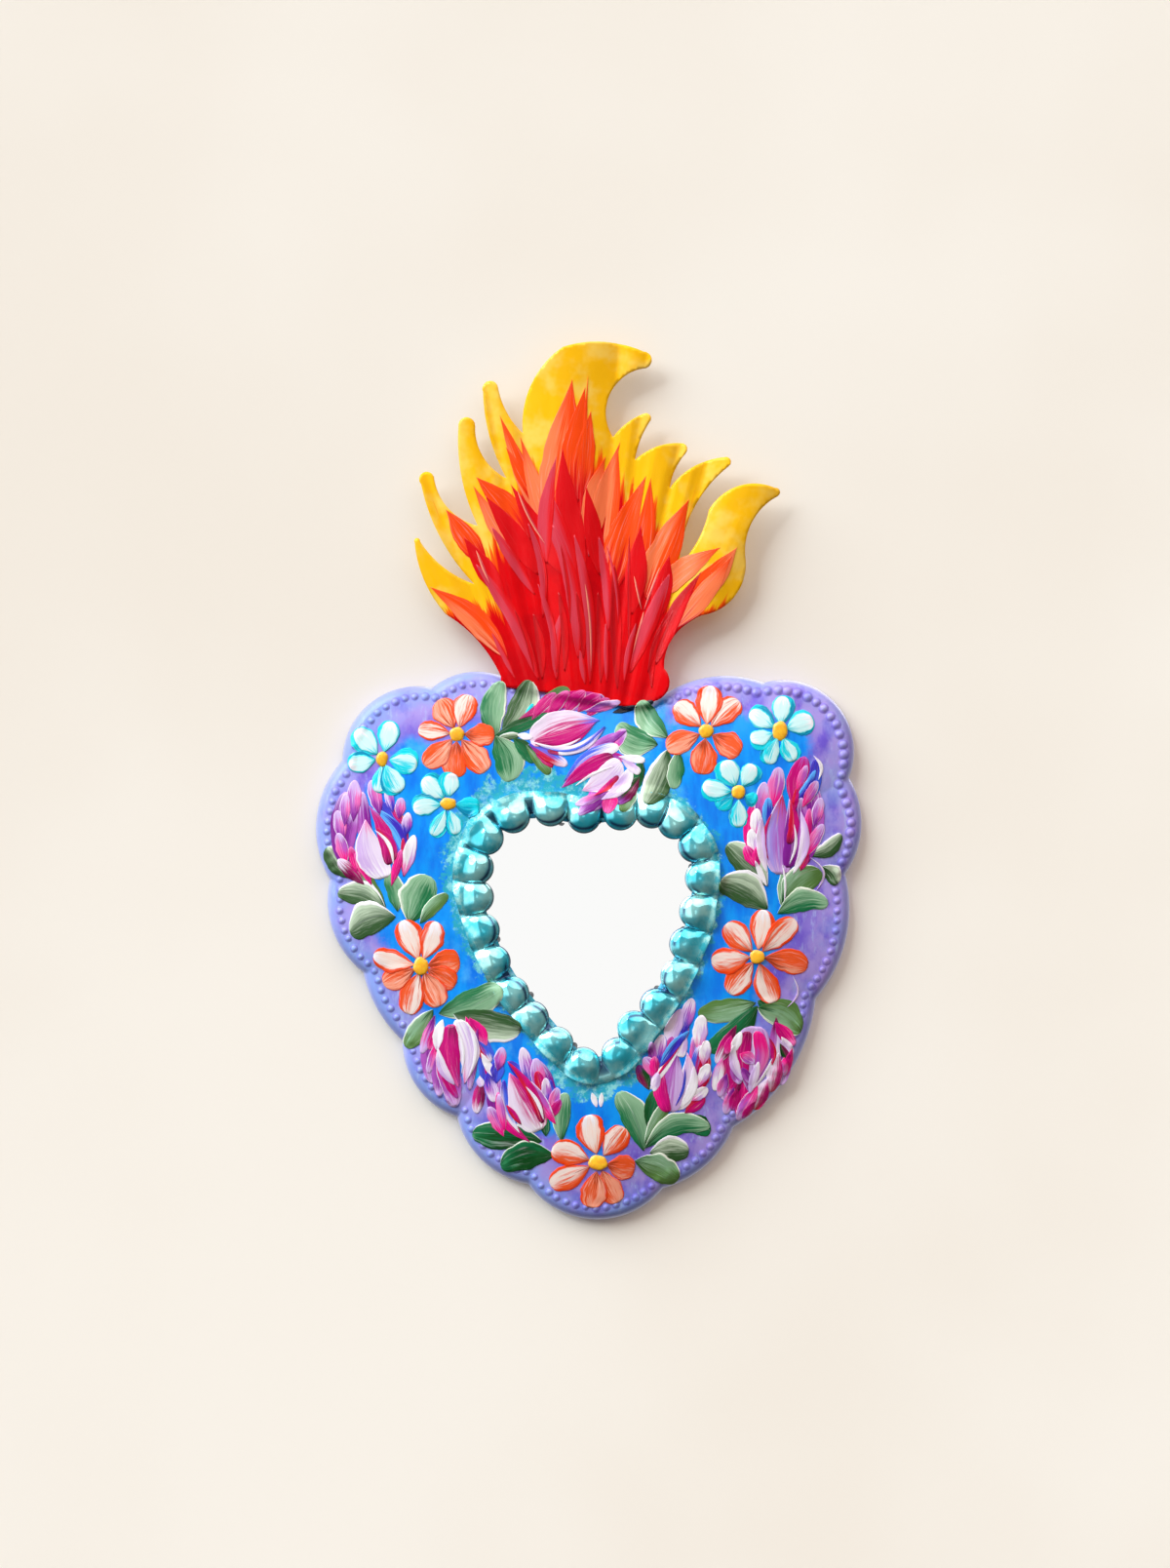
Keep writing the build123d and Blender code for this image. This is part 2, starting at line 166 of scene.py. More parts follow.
def grid(column: float, row: float) -> np.ndarray:
    """Bench place of a step of the layout grid.

    Args:
        column: steps from the left.
        row: steps from the top.
    Returns:
        x and up, in millimetres.
    """
    return np.array(((column - GRID_HOME[0]) * GRID_STEP, (GRID_HOME[1] - row) * GRID_STEP))


def ease(low: float, high: float, value: np.ndarray) -> np.ndarray:
    """Smooth step from 0 at low to 1 at high.

    Args:
        low: value that gives 0.
        high: value that gives 1.
        value: what is measured.
    Returns:
        The step, from 0 to 1.
    """
    share = np.clip((np.asarray(value, dtype=float) - low) / (high - low), 0.0, 1.0)
    return share * share * (3.0 - 2.0 * share)


def srgb(red: int, green: int, blue: int) -> tuple[float, float, float, float]:
    """Linear colour of a 0 to 255 screen colour.

    Args:
        red: red part.
        green: green part.
        blue: blue part.
    Returns:
        Linear red, green, blue and a full alpha.
    """
    parts = [part / 255.0 for part in (red, green, blue)]
    linear = [p / 12.92 if p <= 0.04045 else ((p + 0.055) / 1.055) ** 2.4 for p in parts]
    return (linear[0], linear[1], linear[2], 1.0)


def wobble(points: np.ndarray, size: float, seed: float) -> np.ndarray:
    """Soft random field at some points.

    Args:
        points: rows of x and up, in millimetres.
        size: width of one swell, in millimetres.
        seed: another seed gives another field.
    Returns:
        One value from about -1 to 1 for each point.
    """
    return np.array([noise.noise(Vector((x / size, up / size, seed))) for x, up in points[:, :2]])


def arc_through(start: Point, middle: Point, end: Point, steps: int) -> np.ndarray:
    """Points of the circle's arc from start through middle, without its end.

    Args:
        start: first point.
        middle: a point of the arc between its ends.
        end: last point.
        steps: how many points to give.
    Returns:
        Rows of x and up.
    """
    a, b, c = (np.array(p, dtype=float) for p in (start, middle, end))
    left = np.array((b - a, c - a)) * 2.0
    right = np.array((b @ b - a @ a, c @ c - a @ a))
    centre = np.linalg.solve(left, right)
    angles = [math.atan2(*(p - centre)[::-1]) for p in (a, b, c)]
    turn = (angles[2] - angles[0]) % math.tau
    if (angles[1] - angles[0]) % math.tau > turn:
        turn -= math.tau
    along = angles[0] + turn * np.arange(steps) / steps
    radius = np.linalg.norm(a - centre)
    return centre + radius * np.stack((np.cos(along), np.sin(along)), axis=1)


def arc_chain(start: Point, arcs: Iterable[tuple[Point, Point]], pitch: float, fewest: int) -> np.ndarray:
    """Points of arcs that follow each other.

    Args:
        start: first point.
        arcs: a point on the way and the end of each arc.
        pitch: space between points, in millimetres.
        fewest: least number of points of one arc.
    Returns:
        Rows of x and up.
    """
    parts = []
    for middle, end in arcs:
        length = math.dist(start, middle) + math.dist(middle, end)
        parts.append(arc_through(start, middle, end, max(fewest, round(length / pitch))))
        start = end
    return np.concatenate(parts)


def closed_spline(points: np.ndarray, steps: int) -> np.ndarray:
    """Smooth closed curve through points.

    Args:
        points: rows of x and up.
        steps: points of the curve between two given points.
    Returns:
        Rows of x and up, without the first one again.
    """
    count = len(points)
    after = np.linalg.norm(np.roll(points, -1, 0) - points, axis=1)
    before = np.roll(after, 1)
    matrix = np.zeros((count, count))
    right = np.zeros((count, 2))
    for i in range(count):
        last, following = (i - 1) % count, (i + 1) % count
        matrix[i, last] += after[i]
        matrix[i, i] += 2.0 * (after[i] + before[i])
        matrix[i, following] += before[i]
        right[i] = 3.0 * after[i] * (points[i] - points[last]) / before[i]
        right[i] += 3.0 * before[i] * (points[following] - points[i]) / after[i]
    slopes = np.linalg.solve(matrix, right)
    curve = []
    for i in range(count):
        following = (i + 1) % count
        for t in np.arange(steps) / steps:
            curve.append(
                (2 * t**3 - 3 * t**2 + 1) * points[i]
                + (t**3 - 2 * t**2 + t) * after[i] * slopes[i]
                + (3 * t**2 - 2 * t**3) * points[following]
                + (t**3 - t**2) * after[i] * slopes[following]
            )
    return np.array(curve)


def away(points: np.ndarray, loop: np.ndarray) -> np.ndarray:
    """Distance from points to a closed line.

    Args:
        points: rows of x and up.
        loop: corners of the line.
    Returns:
        One distance for each point, in millimetres.
    """
    ends = np.roll(loop, -1, 0) - loop
    spans = np.maximum((ends**2).sum(1), 1e-12)
    found = []
    for start in range(0, len(points), 4000):
        part = points[start : start + 4000, None, :2] - loop[None]
        share = np.clip((part * ends[None]).sum(2) / spans[None], 0.0, 1.0)
        gap = part - share[..., None] * ends[None]
        found.append(np.sqrt((gap**2).sum(2).min(1)))
    return np.concatenate(found)


def inside(points: np.ndarray, loop: np.ndarray) -> np.ndarray:
    """Whether points lie inside a closed line.

    Args:
        points: rows of x and up.
        loop: corners of the line.
    Returns:
        True for each point inside.
    """
    x, up = points[:, 0:1], points[:, 1:2]
    first, second = loop, np.roll(loop, -1, 0)
    spans = (first[:, 1] > up) != (second[:, 1] > up)
    rise = np.where(second[:, 1] == first[:, 1], 1e-9, second[:, 1] - first[:, 1])
    cross = (second[:, 0] - first[:, 0]) * (up - first[:, 1]) / rise + first[:, 0]
    return ((spans & (x < cross)).sum(1) % 2) == 1


# ---------------------------------------------------------------- shader graphs


@dataclass(frozen=True)
class Value:
    """Output of a shader node, which takes part in sums and products."""

    graph: "Graph"
    socket: bpy.types.NodeSocket

    def __add__(self, other: "Feed") -> "Value":
        """Sum with another value."""
        return self.graph.math("ADD", self, other)

    def __sub__(self, other: "Feed") -> "Value":
        """What is left once another value is taken away."""
        return self.graph.math("SUBTRACT", self, other)

    def __rsub__(self, other: "Feed") -> "Value":
        """What is left of another value once this one is taken away."""
        return self.graph.math("SUBTRACT", other, self)

    def __mul__(self, other: "Feed") -> "Value":
        """Product with another value."""
        return self.graph.math("MULTIPLY", self, other)

    def __abs__(self) -> "Value":
        """Value without its sign."""
        return self.graph.math("ABSOLUTE", self)

    def at_least(self, other: "Feed") -> "Value":
        """The greater of two values."""
        return self.graph.math("MAXIMUM", self, other)

    def at_most(self, other: "Feed") -> "Value":
        """The lesser of two values."""
        return self.graph.math("MINIMUM", self, other)

    def over(self, other: "Feed") -> "Value":
        """1 where the value is greater than another, else 0."""
        return self.graph.math("GREATER_THAN", self, other)


Feed = Union[Value, float, int, tuple]


@dataclass
class Graph:
    """Adds and links the nodes of one shader tree."""

    tree: bpy.types.NodeTree

    def feed(self, inputs: bpy.types.NodeInputs, feeds: dict) -> None:
        """Link or set a node's inputs.

        Args:
            inputs: the node's inputs.
            feeds: a value or a constant for inputs, by name or number.
        """
        for key, value in feeds.items():
            if isinstance(value, Value):
                self.tree.links.new(value.socket, inputs[key])
            else:
                inputs[key].default_value = value

    def add(self, kind: str, feeds: Optional[dict] = None, **settings: object) -> bpy.types.Node:
        """Add one node.

        Args:
            kind: the node's type, without "ShaderNode".
            feeds: a value or a constant for inputs, by name or number.
            settings: the node's own settings.
        Returns:
            The node.
        """
        node = self.tree.nodes.new("ShaderNode" + kind)
        for name, value in settings.items():
            setattr(node, name, value)
        self.feed(node.inputs, feeds or {})
        return node

    def out(self, kind: str, feeds: Optional[dict] = None, key: Union[int, str] = 0,
            **settings: object) -> Value:
        """Add one node and give one of its outputs."""
        return Value(self, self.add(kind, feeds, **settings).outputs[key])

    def split(self, vector: Feed) -> tuple[Value, ...]:
        """The three parts of a vector."""
        return tuple(Value(self, part) for part in self.add("SeparateXYZ", {0: vector}).outputs)

    def math(self, operation: str, *values: Feed, clamp: bool = False) -> Value:
        """Value of a sum, product or other operation."""
        return self.out("Math", dict(enumerate(values)), operation=operation, use_clamp=clamp)

    def mix(self, share: Feed, first: Feed, second: Feed) -> Value:
        """Colour between two others."""
        return self.out("Mix", {0: share, 6: first, 7: second}, 2, data_type="RGBA")

    def step(self, value: Feed, low: Feed, high: Feed) -> Value:
        """Smooth step from 0 at low to 1 at high."""
        feeds = {0: value, 1: low, 2: high, 3: 0.0, 4: 1.0}
        return self.out("MapRange", feeds, interpolation_type="SMOOTHSTEP")

    def read(self, name: str, kind: str = "Fac") -> Value:
        """Value, vector or colour stored on the mesh under a name."""
        return self.out("Attribute", None, kind, attribute_name=name, attribute_type="GEOMETRY")

    def bench(self) -> Value:
        """Place on the object in millimetres: x, depth and up."""
        place = self.out("TexCoord", None, "Object")
        return self.out("VectorMath", {0: place, 3: MM}, operation="SCALE")

    def scaled(self, vector: Feed, factors: tuple[float, float, float]) -> Value:
        """Vector times a factor for each axis."""
        return self.out("VectorMath", {0: vector, 1: factors}, operation="MULTIPLY")

    def grain(self, vector: Feed, size: float, detail: float = 3.0, rough: float = 0.55) -> Value:
        """Soft noise from 0 to 1 with swells of a size in the vector's units."""
        feeds = {"Vector": vector, "Scale": 1.0 / size, "Detail": detail, "Roughness": rough}
        return self.out("TexNoise", feeds, "Fac")

    def close(self, gives: dict[str, Value]) -> bpy.types.NodeTree:
        """Put out the results of a shared effect, and give its tree."""
        self.feed(self.tree.nodes.new("NodeGroupOutput").inputs, gives)
        return self.tree


def new_group(name: str, takes: dict[str, str], gives: dict[str, str]) -> tuple[Graph, dict[str, Value]]:
    """Start a shared effect.

    Args:
        name: name of the group.
        takes: kind of each input ("Float", "Vector" or "Color"), by name.
        gives: kind of each output, by name.
    Returns:
        The group's graph, and its inputs by name.
    """
    tree = bpy.data.node_groups.new(name, "ShaderNodeTree")
    for way, sockets in (("INPUT", takes), ("OUTPUT", gives)):
        for label, kind in sockets.items():
            tree.interface.new_socket(label, in_out=way, socket_type="NodeSocket" + kind)
    graph = Graph(tree)
    inputs = tree.nodes.new("NodeGroupInput").outputs
    return graph, {label: Value(graph, inputs[label]) for label in takes}


def brush_effect() -> bpy.types.NodeTree:
    """Shared effect: one stroke of a brush loaded with several paints.

    Returns:
        The group: stroke place, paints and how they lie in, colour and height out.
    """
    takes = {"Stroke": "Vector", "Left": "Color", "Right": "Color", "Tip": "Color",
             "Foot": "Color", "Rim": "Color", "Across": "Vector", "Along": "Vector",
             "Rim Width": "Float"}
    graph, given = new_group("Brush stroke", takes, {"Color": "Color", "Height": "Float"})
    u, v, _ = graph.split(given["Stroke"])
    edge, soft, streaky = graph.split(given["Across"])
    tip_at, foot_at, rim_side = graph.split(given["Along"])
    bristles = graph.grain(graph.scaled(given["Stroke"], (1.2, 5.0, 7.3)), 1.0, 4.0, 0.62)
    fine = graph.grain(graph.scaled(given["Stroke"], (2.6, 15.0, 3.1)), 1.0, 3.0, 0.6)
    streak = (bristles - 0.5 + (fine - 0.5) * 0.5) * streaky
    # the two sides of the brush, then the paint at its tip and at its foot
    side = graph.step(v + streak * 2.6, edge - soft, edge + soft)
    colour = graph.mix(side, given["Right"], given["Left"])
    far = u + streak * 0.9
    colour = graph.mix(graph.step(far, tip_at - 0.14, tip_at + 0.14), colour, given["Tip"])
    colour = graph.mix(graph.step(far, foot_at + 0.16, foot_at - 0.16), colour, given["Foot"])
    # the rim lies on one side, or on both where its side is 2
    both = abs(rim_side).over(1.5)
    lean = (v * rim_side.at_most(1.0).at_least(-1.0)).at_least(both * abs(v)) + streak * 0.5
    inner = 1.0 - given["Rim Width"]
    rim = graph.step(lean, inner, inner + 0.1) * abs(rim_side).over(0.5)
    colour = graph.mix(rim, colour, given["Rim"])
    # bristles that carry thin white paint, and those that let the foot's paint through
    colour = graph.mix(graph.step(streak, 0.05, 0.32) * 0.24, colour, (1.0, 1.0, 1.0, 1.0))
    shade = graph.step(streak, -0.04, -0.30) * 0.40
    colour = graph.mix(shade, colour, graph.mix(0.5, colour, given["Foot"]))
    return graph.close({"Color": colour, "Height": bristles + fine * 0.6})


def ragged_effect() -> bpy.types.NodeTree:
    """Shared effect: mask of a painted area with a ragged, dabbed edge.

    Returns:
        The group: distance past the edge, raggedness and place in, mask out.
    """
    takes = {"Past": "Float", "Ragged": "Float", "Place": "Vector", "Soft": "Float"}
    graph, given = new_group("Ragged edge", takes, {"Mask": "Float"})
    swell = graph.grain(given["Place"], 5.0, 4.0, 0.6)
    dabs = graph.grain(given["Place"], 1.1, 3.0, 0.6)
    past = given["Past"] + (swell - 0.5 + dabs * 0.5 - 0.25) * given["Ragged"]
    return graph.close({"Mask": graph.step(past, given["Soft"] * -1.0, given["Soft"])})


@dataclass
class Effects:
    """The shared effects, made once."""

    brush: bpy.types.NodeTree = field(default_factory=brush_effect)
    ragged: bpy.types.NodeTree = field(default_factory=ragged_effect)


@dataclass(frozen=True)
class Surface:
    """Constants of one material's own shader."""

    roughness: float = 0.3
    metallic: float = 0.0
    coat: float = 0.0
    coat_roughness: float = 0.05
    specular: float = 0.5
    bump: float = 0.0
    bump_distance: float = 0.0002


@dataclass(frozen=True)
class Look:
    """What feeds a material's shader: its colour and, if any, its height and its roughness."""

    colour: Feed
    height: Optional[Value] = None
    roughness: Optional[Value] = None


def new_material(name: str) -> tuple[bpy.types.Material, Graph, bpy.types.Node]:
    """Start a material.

    Args:
        name: name of the material.
    Returns:
        The material, its graph and its principled shader.
    """
    material = bpy.data.materials.new(name)
    material.use_nodes = True
    return material, Graph(material.node_tree), material.node_tree.nodes["Principled BSDF"]


def dress(graph: Graph, shader: bpy.types.Node, surface: Surface, look: Look) -> None:
    """Set a material's shader.

    Args:
        graph: the material's graph.
        shader: its principled shader.
        surface: the constants.
        look: the colour, height and roughness.
    """
    feeds = {"Base Color": look.colour, "Metallic": surface.metallic,
             "Roughness": surface.roughness if look.roughness is None else look.roughness,
             "Specular IOR Level": surface.specular, "Coat Weight": surface.coat,
             "Coat Roughness": surface.coat_roughness}
    if look.height is not None:
        feeds["Normal"] = graph.out("Bump", {"Height": look.height, "Strength": surface.bump,
                                             "Distance": surface.bump_distance})
        if surface.coat > 0.0:
            feeds["Coat Normal"] = feeds["Normal"]
    graph.feed(shader.inputs, feeds)


class Finish:
    """A procedural finish: each kind has its paints, its surface and its own look."""

    name: str
    surface: Surface

    def look(self, graph: Graph, effects: Effects) -> Look:
        """Colour, height and roughness of the finish.

        Args:
            graph: the material's graph.
            effects: the shared effects.
        Returns:
            What feeds the shader.
        """
        raise NotImplementedError

    def make(self, effects: Effects) -> bpy.types.Material:
        """Make the material.

        Args:
            effects: the shared effects.
        Returns:
            The material.
        """
        material, graph, shader = new_material(self.name)
        dress(graph, shader, self.surface, self.look(graph, effects))
        return material


@dataclass(frozen=True)
class HeartFinish(Finish):
    """Paint of the heart: a blue field, a violet rim and sponged turquoise by the mirror."""

    name: str = "heart_paint"
    azure: tuple = srgb(4, 150, 246)
    deep: tuple = srgb(2, 118, 232)
    sky: tuple = srgb(84, 184, 248)
    violet: tuple = srgb(110, 86, 205)
    lavender: tuple = srgb(168, 147, 222)
    periwinkle: tuple = srgb(138, 160, 232)
    mist: tuple = srgb(176, 196, 240)
    turquoise: tuple = srgb(42, 168, 190)
    foam: tuple = srgb(140, 218, 222)
    surface: Surface = Surface(roughness=0.34, coat=0.12, coat_roughness=0.1, specular=0.24, bump=0.5)

    def look(self, graph: Graph, effects: Effects) -> Look:
        """Blue field, then the sponged turquoise, then the violet rim.

        Args:
            graph: the material's graph.
            effects: the shared effects.
        Returns:
            What feeds the shader.
        """
        place = graph.bench()
        brushed = graph.grain(graph.scaled(place, (1.0, 1.0, 0.3)), 6.0, 4.0, 0.6)
        cloud = graph.grain(place, 13.0, 4.0, 0.6)
        colour = graph.mix(graph.step(brushed, 0.35, 0.62), self.deep, self.azure)
        colour = graph.mix(graph.step(cloud, 0.54, 0.72) * 0.6, colour, self.sky)
        inset = graph.read("inset")
        colour = graph.mix(self.sponge(graph, effects, place), colour, self.teal(graph, place))
        feeds = {"Past": graph.read("violet_width") - inset, "Ragged": 6.0, "Place": place, "Soft": 2.8}
        rim = graph.out("Group", feeds, node_tree=effects.ragged)
        colour = graph.mix(rim, colour, self.wash(graph, place, inset, cloud))
        brush = graph.grain(graph.scaled(place, (1.0, 1.0, 0.25)), 0.9, 3.0, 0.6)
        return Look(colour, brush * 0.2 + graph.grain(place, 3.2, 3.0, 0.55))

    def wash(self, graph: Graph, place: Value, inset: Value, cloud: Value) -> Value:
        """Watery violet of the rim, paler towards the lip, with painted sheen and painted shade on the lip and a
        painted shade ring round the beads' feet.

        Args:
            graph: the material's graph.
            place: place on the object.
            inset: distance from the heart's edge.
            cloud: broad drift of the paint.
        Returns:
            The colour.
        """
        wash = graph.grain(graph.scaled(place, (1.0, 1.0, 0.6)), 8.0, 5.0, 0.6)
        run = graph.grain(graph.scaled(place, (1.0, 1.0, 0.35)), 3.0, 4.0, 0.7)
        violet = graph.mix(graph.step(wash, 0.32, 0.56), self.violet, self.lavender)
        violet = graph.mix(graph.step(inset, 8.5, 16.0) * 0.6, violet, self.violet)
        pale = graph.step(inset, 13.0, 0.5) * graph.read("pale")
        pale = graph.math("ADD", pale, (cloud - 0.5) * 2.4, clamp=True)
        violet = graph.mix(pale, violet, self.periwinkle)
        violet = graph.mix(graph.step(run, 0.54, 0.70) * 0.55, violet, self.mist)
        # a paler band along the lip: partly the paint, partly a painted sheen on the rolled edge
        violet = graph.mix(graph.step(inset, 2.8, 0.2) * 0.45, violet, self.mist)
        _, depth, _ = graph.split(place)
        # painted shade: the outer lip is mixed towards violet, a little more where it turns back towards the wall
        lip = graph.step(inset, 2.6, 0.6) * graph.step(depth, -20.0, 15.0)
        violet = graph.mix(lip * 0.7, violet, self.violet)
        # painted shade: a darker violet ring round each bead's foot
        return graph.mix(graph.read("pooling_and_painted_light") * (run * 0.9), violet, self.violet)

    def sponge(self, graph: Graph, effects: Effects, place: Value) -> Value:
        """Mask of the turquoise that was sponged round the mirror.

        Args:
            graph: the material's graph.
            effects: the shared effects.
            place: place on the object.
        Returns:
            1 where the turquoise covers, else 0.
        """
        near = graph.read("sponge_width") - graph.read("out")
        feeds = {"Past": near, "Ragged": 13.0, "Place": place, "Soft": 1.1}
        mask = graph.out("Group", feeds, node_tree=effects.ragged)
        holes = graph.step(graph.grain(place, 2.6, 5.0, 0.7), 0.38, 0.54)
        return mask * (holes * 0.38 + 0.62)

    def teal(self, graph: Graph, place: Value) -> Value:
        """Colour of the sponged turquoise."""
        dabs = graph.grain(place, 3.4, 6.0, 0.72)
        return graph.mix(graph.step(dabs, 0.48, 0.62), self.turquoise, self.foam)


@dataclass(frozen=True)
class BrushFinish(Finish):
    """Thick glossy paint of the flowers, leaves and feathers."""

    name: str = "brush_paint"
    surface: Surface = Surface(roughness=0.32, coat=0.18, coat_roughness=0.1, specular=0.16, bump=0.4)

    def look(self, graph: Graph, effects: Effects) -> Look:
        """Brush strokes with the paints stored on the mesh.

        Args:
            graph: the material's graph.
            effects: the shared effects.
        Returns:
            What feeds the shader.
        """
        stored = {"Color": ("Left", "Right", "Tip", "Foot", "Rim"),
                  "Vector": ("Stroke", "Across", "Along")}
        feeds = {name: graph.read(name.lower(), kind) for kind, names in stored.items() for name in names}
        feeds["Rim Width"] = graph.read("rim_width")
        stroke = graph.add("Group", feeds, node_tree=effects.brush).outputs
        return Look(Value(graph, stroke["Color"]), Value(graph, stroke["Height"]))


@dataclass(frozen=True)
class LacquerFinish(Finish):
    """Turquoise see-through lacquer over the bright tin of the bezel."""

    name: str = "bezel_lacquer"
    pale: tuple = srgb(176, 244, 240)
    teal: tuple = srgb(48, 196, 216)
    # painted shade and painted reflection of the creases and edges
    deep: tuple = srgb(0, 58, 104)
    surface: Surface = Surface(roughness=0.16, metallic=0.62, coat=0.7, coat_roughness=0.03, bump=0.06)

    def look(self, graph: Graph, effects: Effects) -> Look:
        """Pooled lacquer with pale patches that are partly painted highlight, dabbed on the outer band, and dark with
        painted shade and painted reflection in the creases and along the edges.

        Args:
            graph: the material's graph.
            effects: the shared effects; not used here.
        Returns:
            What feeds the shader.
        """
        place = graph.bench()
        fine = graph.grain(place, 1.4, 3.0, 0.6)
        # pale patches where the lacquer lies thin over the tin, partly a painted highlight
        pooling_and_painted_light = graph.grain(place, 9.0, 2.0, 0.5) * 0.8 + fine * 0.2
        colour = graph.mix(graph.step(pooling_and_painted_light, 0.36, 0.70), self.teal, self.pale)
        band = graph.read("outer")
        dabs = graph.step(graph.grain(place, 2.8, 5.0, 0.7), 0.42, 0.6)
        colour = graph.mix(band * 0.8, colour, graph.mix(dabs, self.teal, self.pale))
        # painted shade and painted reflection, from the value stored as crease
        colour = graph.mix(graph.read("crease"), colour, self.deep)
        height = graph.grain(place, 3.4, 2.0, 0.5) + fine * 0.15
        return Look(colour, height, band * 0.34 + 0.09)


@dataclass(frozen=True)
class FlameFinish(Finish):
    """Paint of the flame: yellow tips, orange feathers and a red heart."""

    name: str = "flame_paint"
    yellow: tuple = srgb(255, 190, 14)
    straw: tuple = srgb(254, 206, 84)
    orange: tuple = srgb(253, 82, 8)
    amber: tuple = srgb(250, 140, 22)
    red: tuple = srgb(224, 0, 10)
    crimson: tuple = srgb(188, 0, 16)
    surface: Surface = Surface(roughness=0.32, coat=0.12, coat_roughness=0.08, specular=0.08, bump=0.3)

    def look(self, graph: Graph, effects: Effects) -> Look:
        """Paints that follow the depth below the tips, in streaks along the pleats.

        Args:
            graph: the material's graph.
            effects: the shared effects; not used here.
        Returns:
            What feeds the shader.
        """
        fan, place = graph.read("fan", "Vector"), graph.bench()
        streak = graph.grain(graph.scaled(fan, (3.4, 1.2, 0.0)), 1.0, 3.0, 0.6)
        feather = graph.grain(graph.scaled(fan, (11.0, 2.6, 0.0)), 1.0, 3.0, 0.6)
        depth = graph.read("depth") + ((streak - 0.5) * 46.0 + (feather - 0.5) * 24.0)
        tint = graph.grain(place, 12.0, 3.0, 0.6)
        colour = graph.mix(graph.step(tint, 0.42, 0.66), self.yellow, self.straw)
        paints = ((7.0, 10.0, self.amber), (9.5, 11.5, self.orange), (12.5, 18.0, self.red))
        for low, high, paint in paints:
            colour = graph.mix(graph.step(depth, low, high), colour, paint)
        dark = graph.step(depth, 24.0, 40.0) * graph.step(tint, 0.4, 0.65)
        colour = graph.mix(dark * 0.55, colour, self.crimson)
        return Look(colour, graph.grain(place, 2.2, 3.0, 0.55) + feather)


@dataclass(frozen=True)
class TinFinish(Finish):
    """Bare tinplate with its faint crystal spangle and a few stains."""

    name: str = "bare_tin"
    light: tuple = srgb(216, 216, 216)
    dark: tuple = srgb(190, 191, 193)
    stain: tuple = srgb(150, 138, 122)
    surface: Surface = Surface(roughness=0.38, metallic=1.0, bump=0.18)

    def look(self, graph: Graph, effects: Effects) -> Look:
        """Crystals of two greys, rolling lines and stains.

        Args:
            graph: the material's graph.
            effects: the shared effects; not used here.
        Returns:
            What feeds the shader.
        """
        place = graph.bench()
        cells = graph.out("TexVoronoi", {"Vector": place, "Scale": 0.22}, "Color", feature="F1")
        crystal = graph.out("SeparateColor", {0: cells})
        rolled = graph.grain(graph.scaled(place, (1.0, 1.0, 0.06)), 0.5, 3.0, 0.6)
        colour = graph.mix(graph.step(crystal * 0.6 + rolled * 0.5, 0.2, 0.95), self.dark, self.light)
        stain = graph.step(graph.grain(place, 16.0, 5.0, 0.65), 0.55, 0.75) * 0.4
        return Look(graph.mix(stain, colour, self.stain), rolled, crystal * 0.16 + 0.28)


@dataclass(frozen=True)
class PlainFinish(Finish):
    """A finish of two near colours that drift into each other."""

    name: str
    light: tuple
    dark: tuple
    size: float
    surface: Surface

    def look(self, graph: Graph, effects: Effects) -> Look:
        """Slow drift of the colours, with a finer bump.

        Args:
            graph: the material's graph.
            effects: the shared effects; not used here.
        Returns:
            What feeds the shader.
        """
        place = graph.bench()
        drift = graph.grain(place, self.size, 4.0, 0.6)
        colour = graph.mix(graph.step(drift, 0.35, 0.65), self.dark, self.light)
        return Look(colour, graph.grain(place, self.size / 4.0, 3.0, 0.6))


SOLDER = PlainFinish("soft_solder", srgb(188, 190, 192), srgb(138, 140, 144), 1.6,
                     Surface(roughness=0.34, metallic=1.0, bump=0.4))
WIRE = PlainFinish("loop_wire", srgb(190, 188, 184), srgb(146, 142, 138), 2.4,
                   Surface(roughness=0.3, metallic=1.0, bump=0.15))
CARD = PlainFinish("backing_card", srgb(178, 150, 112), srgb(158, 130, 94), 3.0,
                   Surface(roughness=0.9, bump=0.5))
YOLK = PlainFinish("flower_centre_paint", srgb(255, 196, 24), srgb(248, 170, 22), 1.4,
                   Surface(roughness=0.32, coat=0.5, coat_roughness=0.12, bump=0.4))


@dataclass(frozen=True)
class GlassFinish(Finish):
    """Silvered glass."""

    name: str = "mirror_silver"
    silver: tuple = (0.955, 0.96, 0.96, 1.0)
    surface: Surface = Surface(roughness=0.02, metallic=1.0)

    def look(self, graph: Graph, effects: Effects) -> Look:
        """Bright silver with a trace of dust."""
        dust = graph.grain(graph.bench(), 9.0, 5.0, 0.7)
        return Look(self.silver, None, graph.step(dust, 0.5, 0.9) * 0.05)


# ---------------------------------------------------------------- meshes


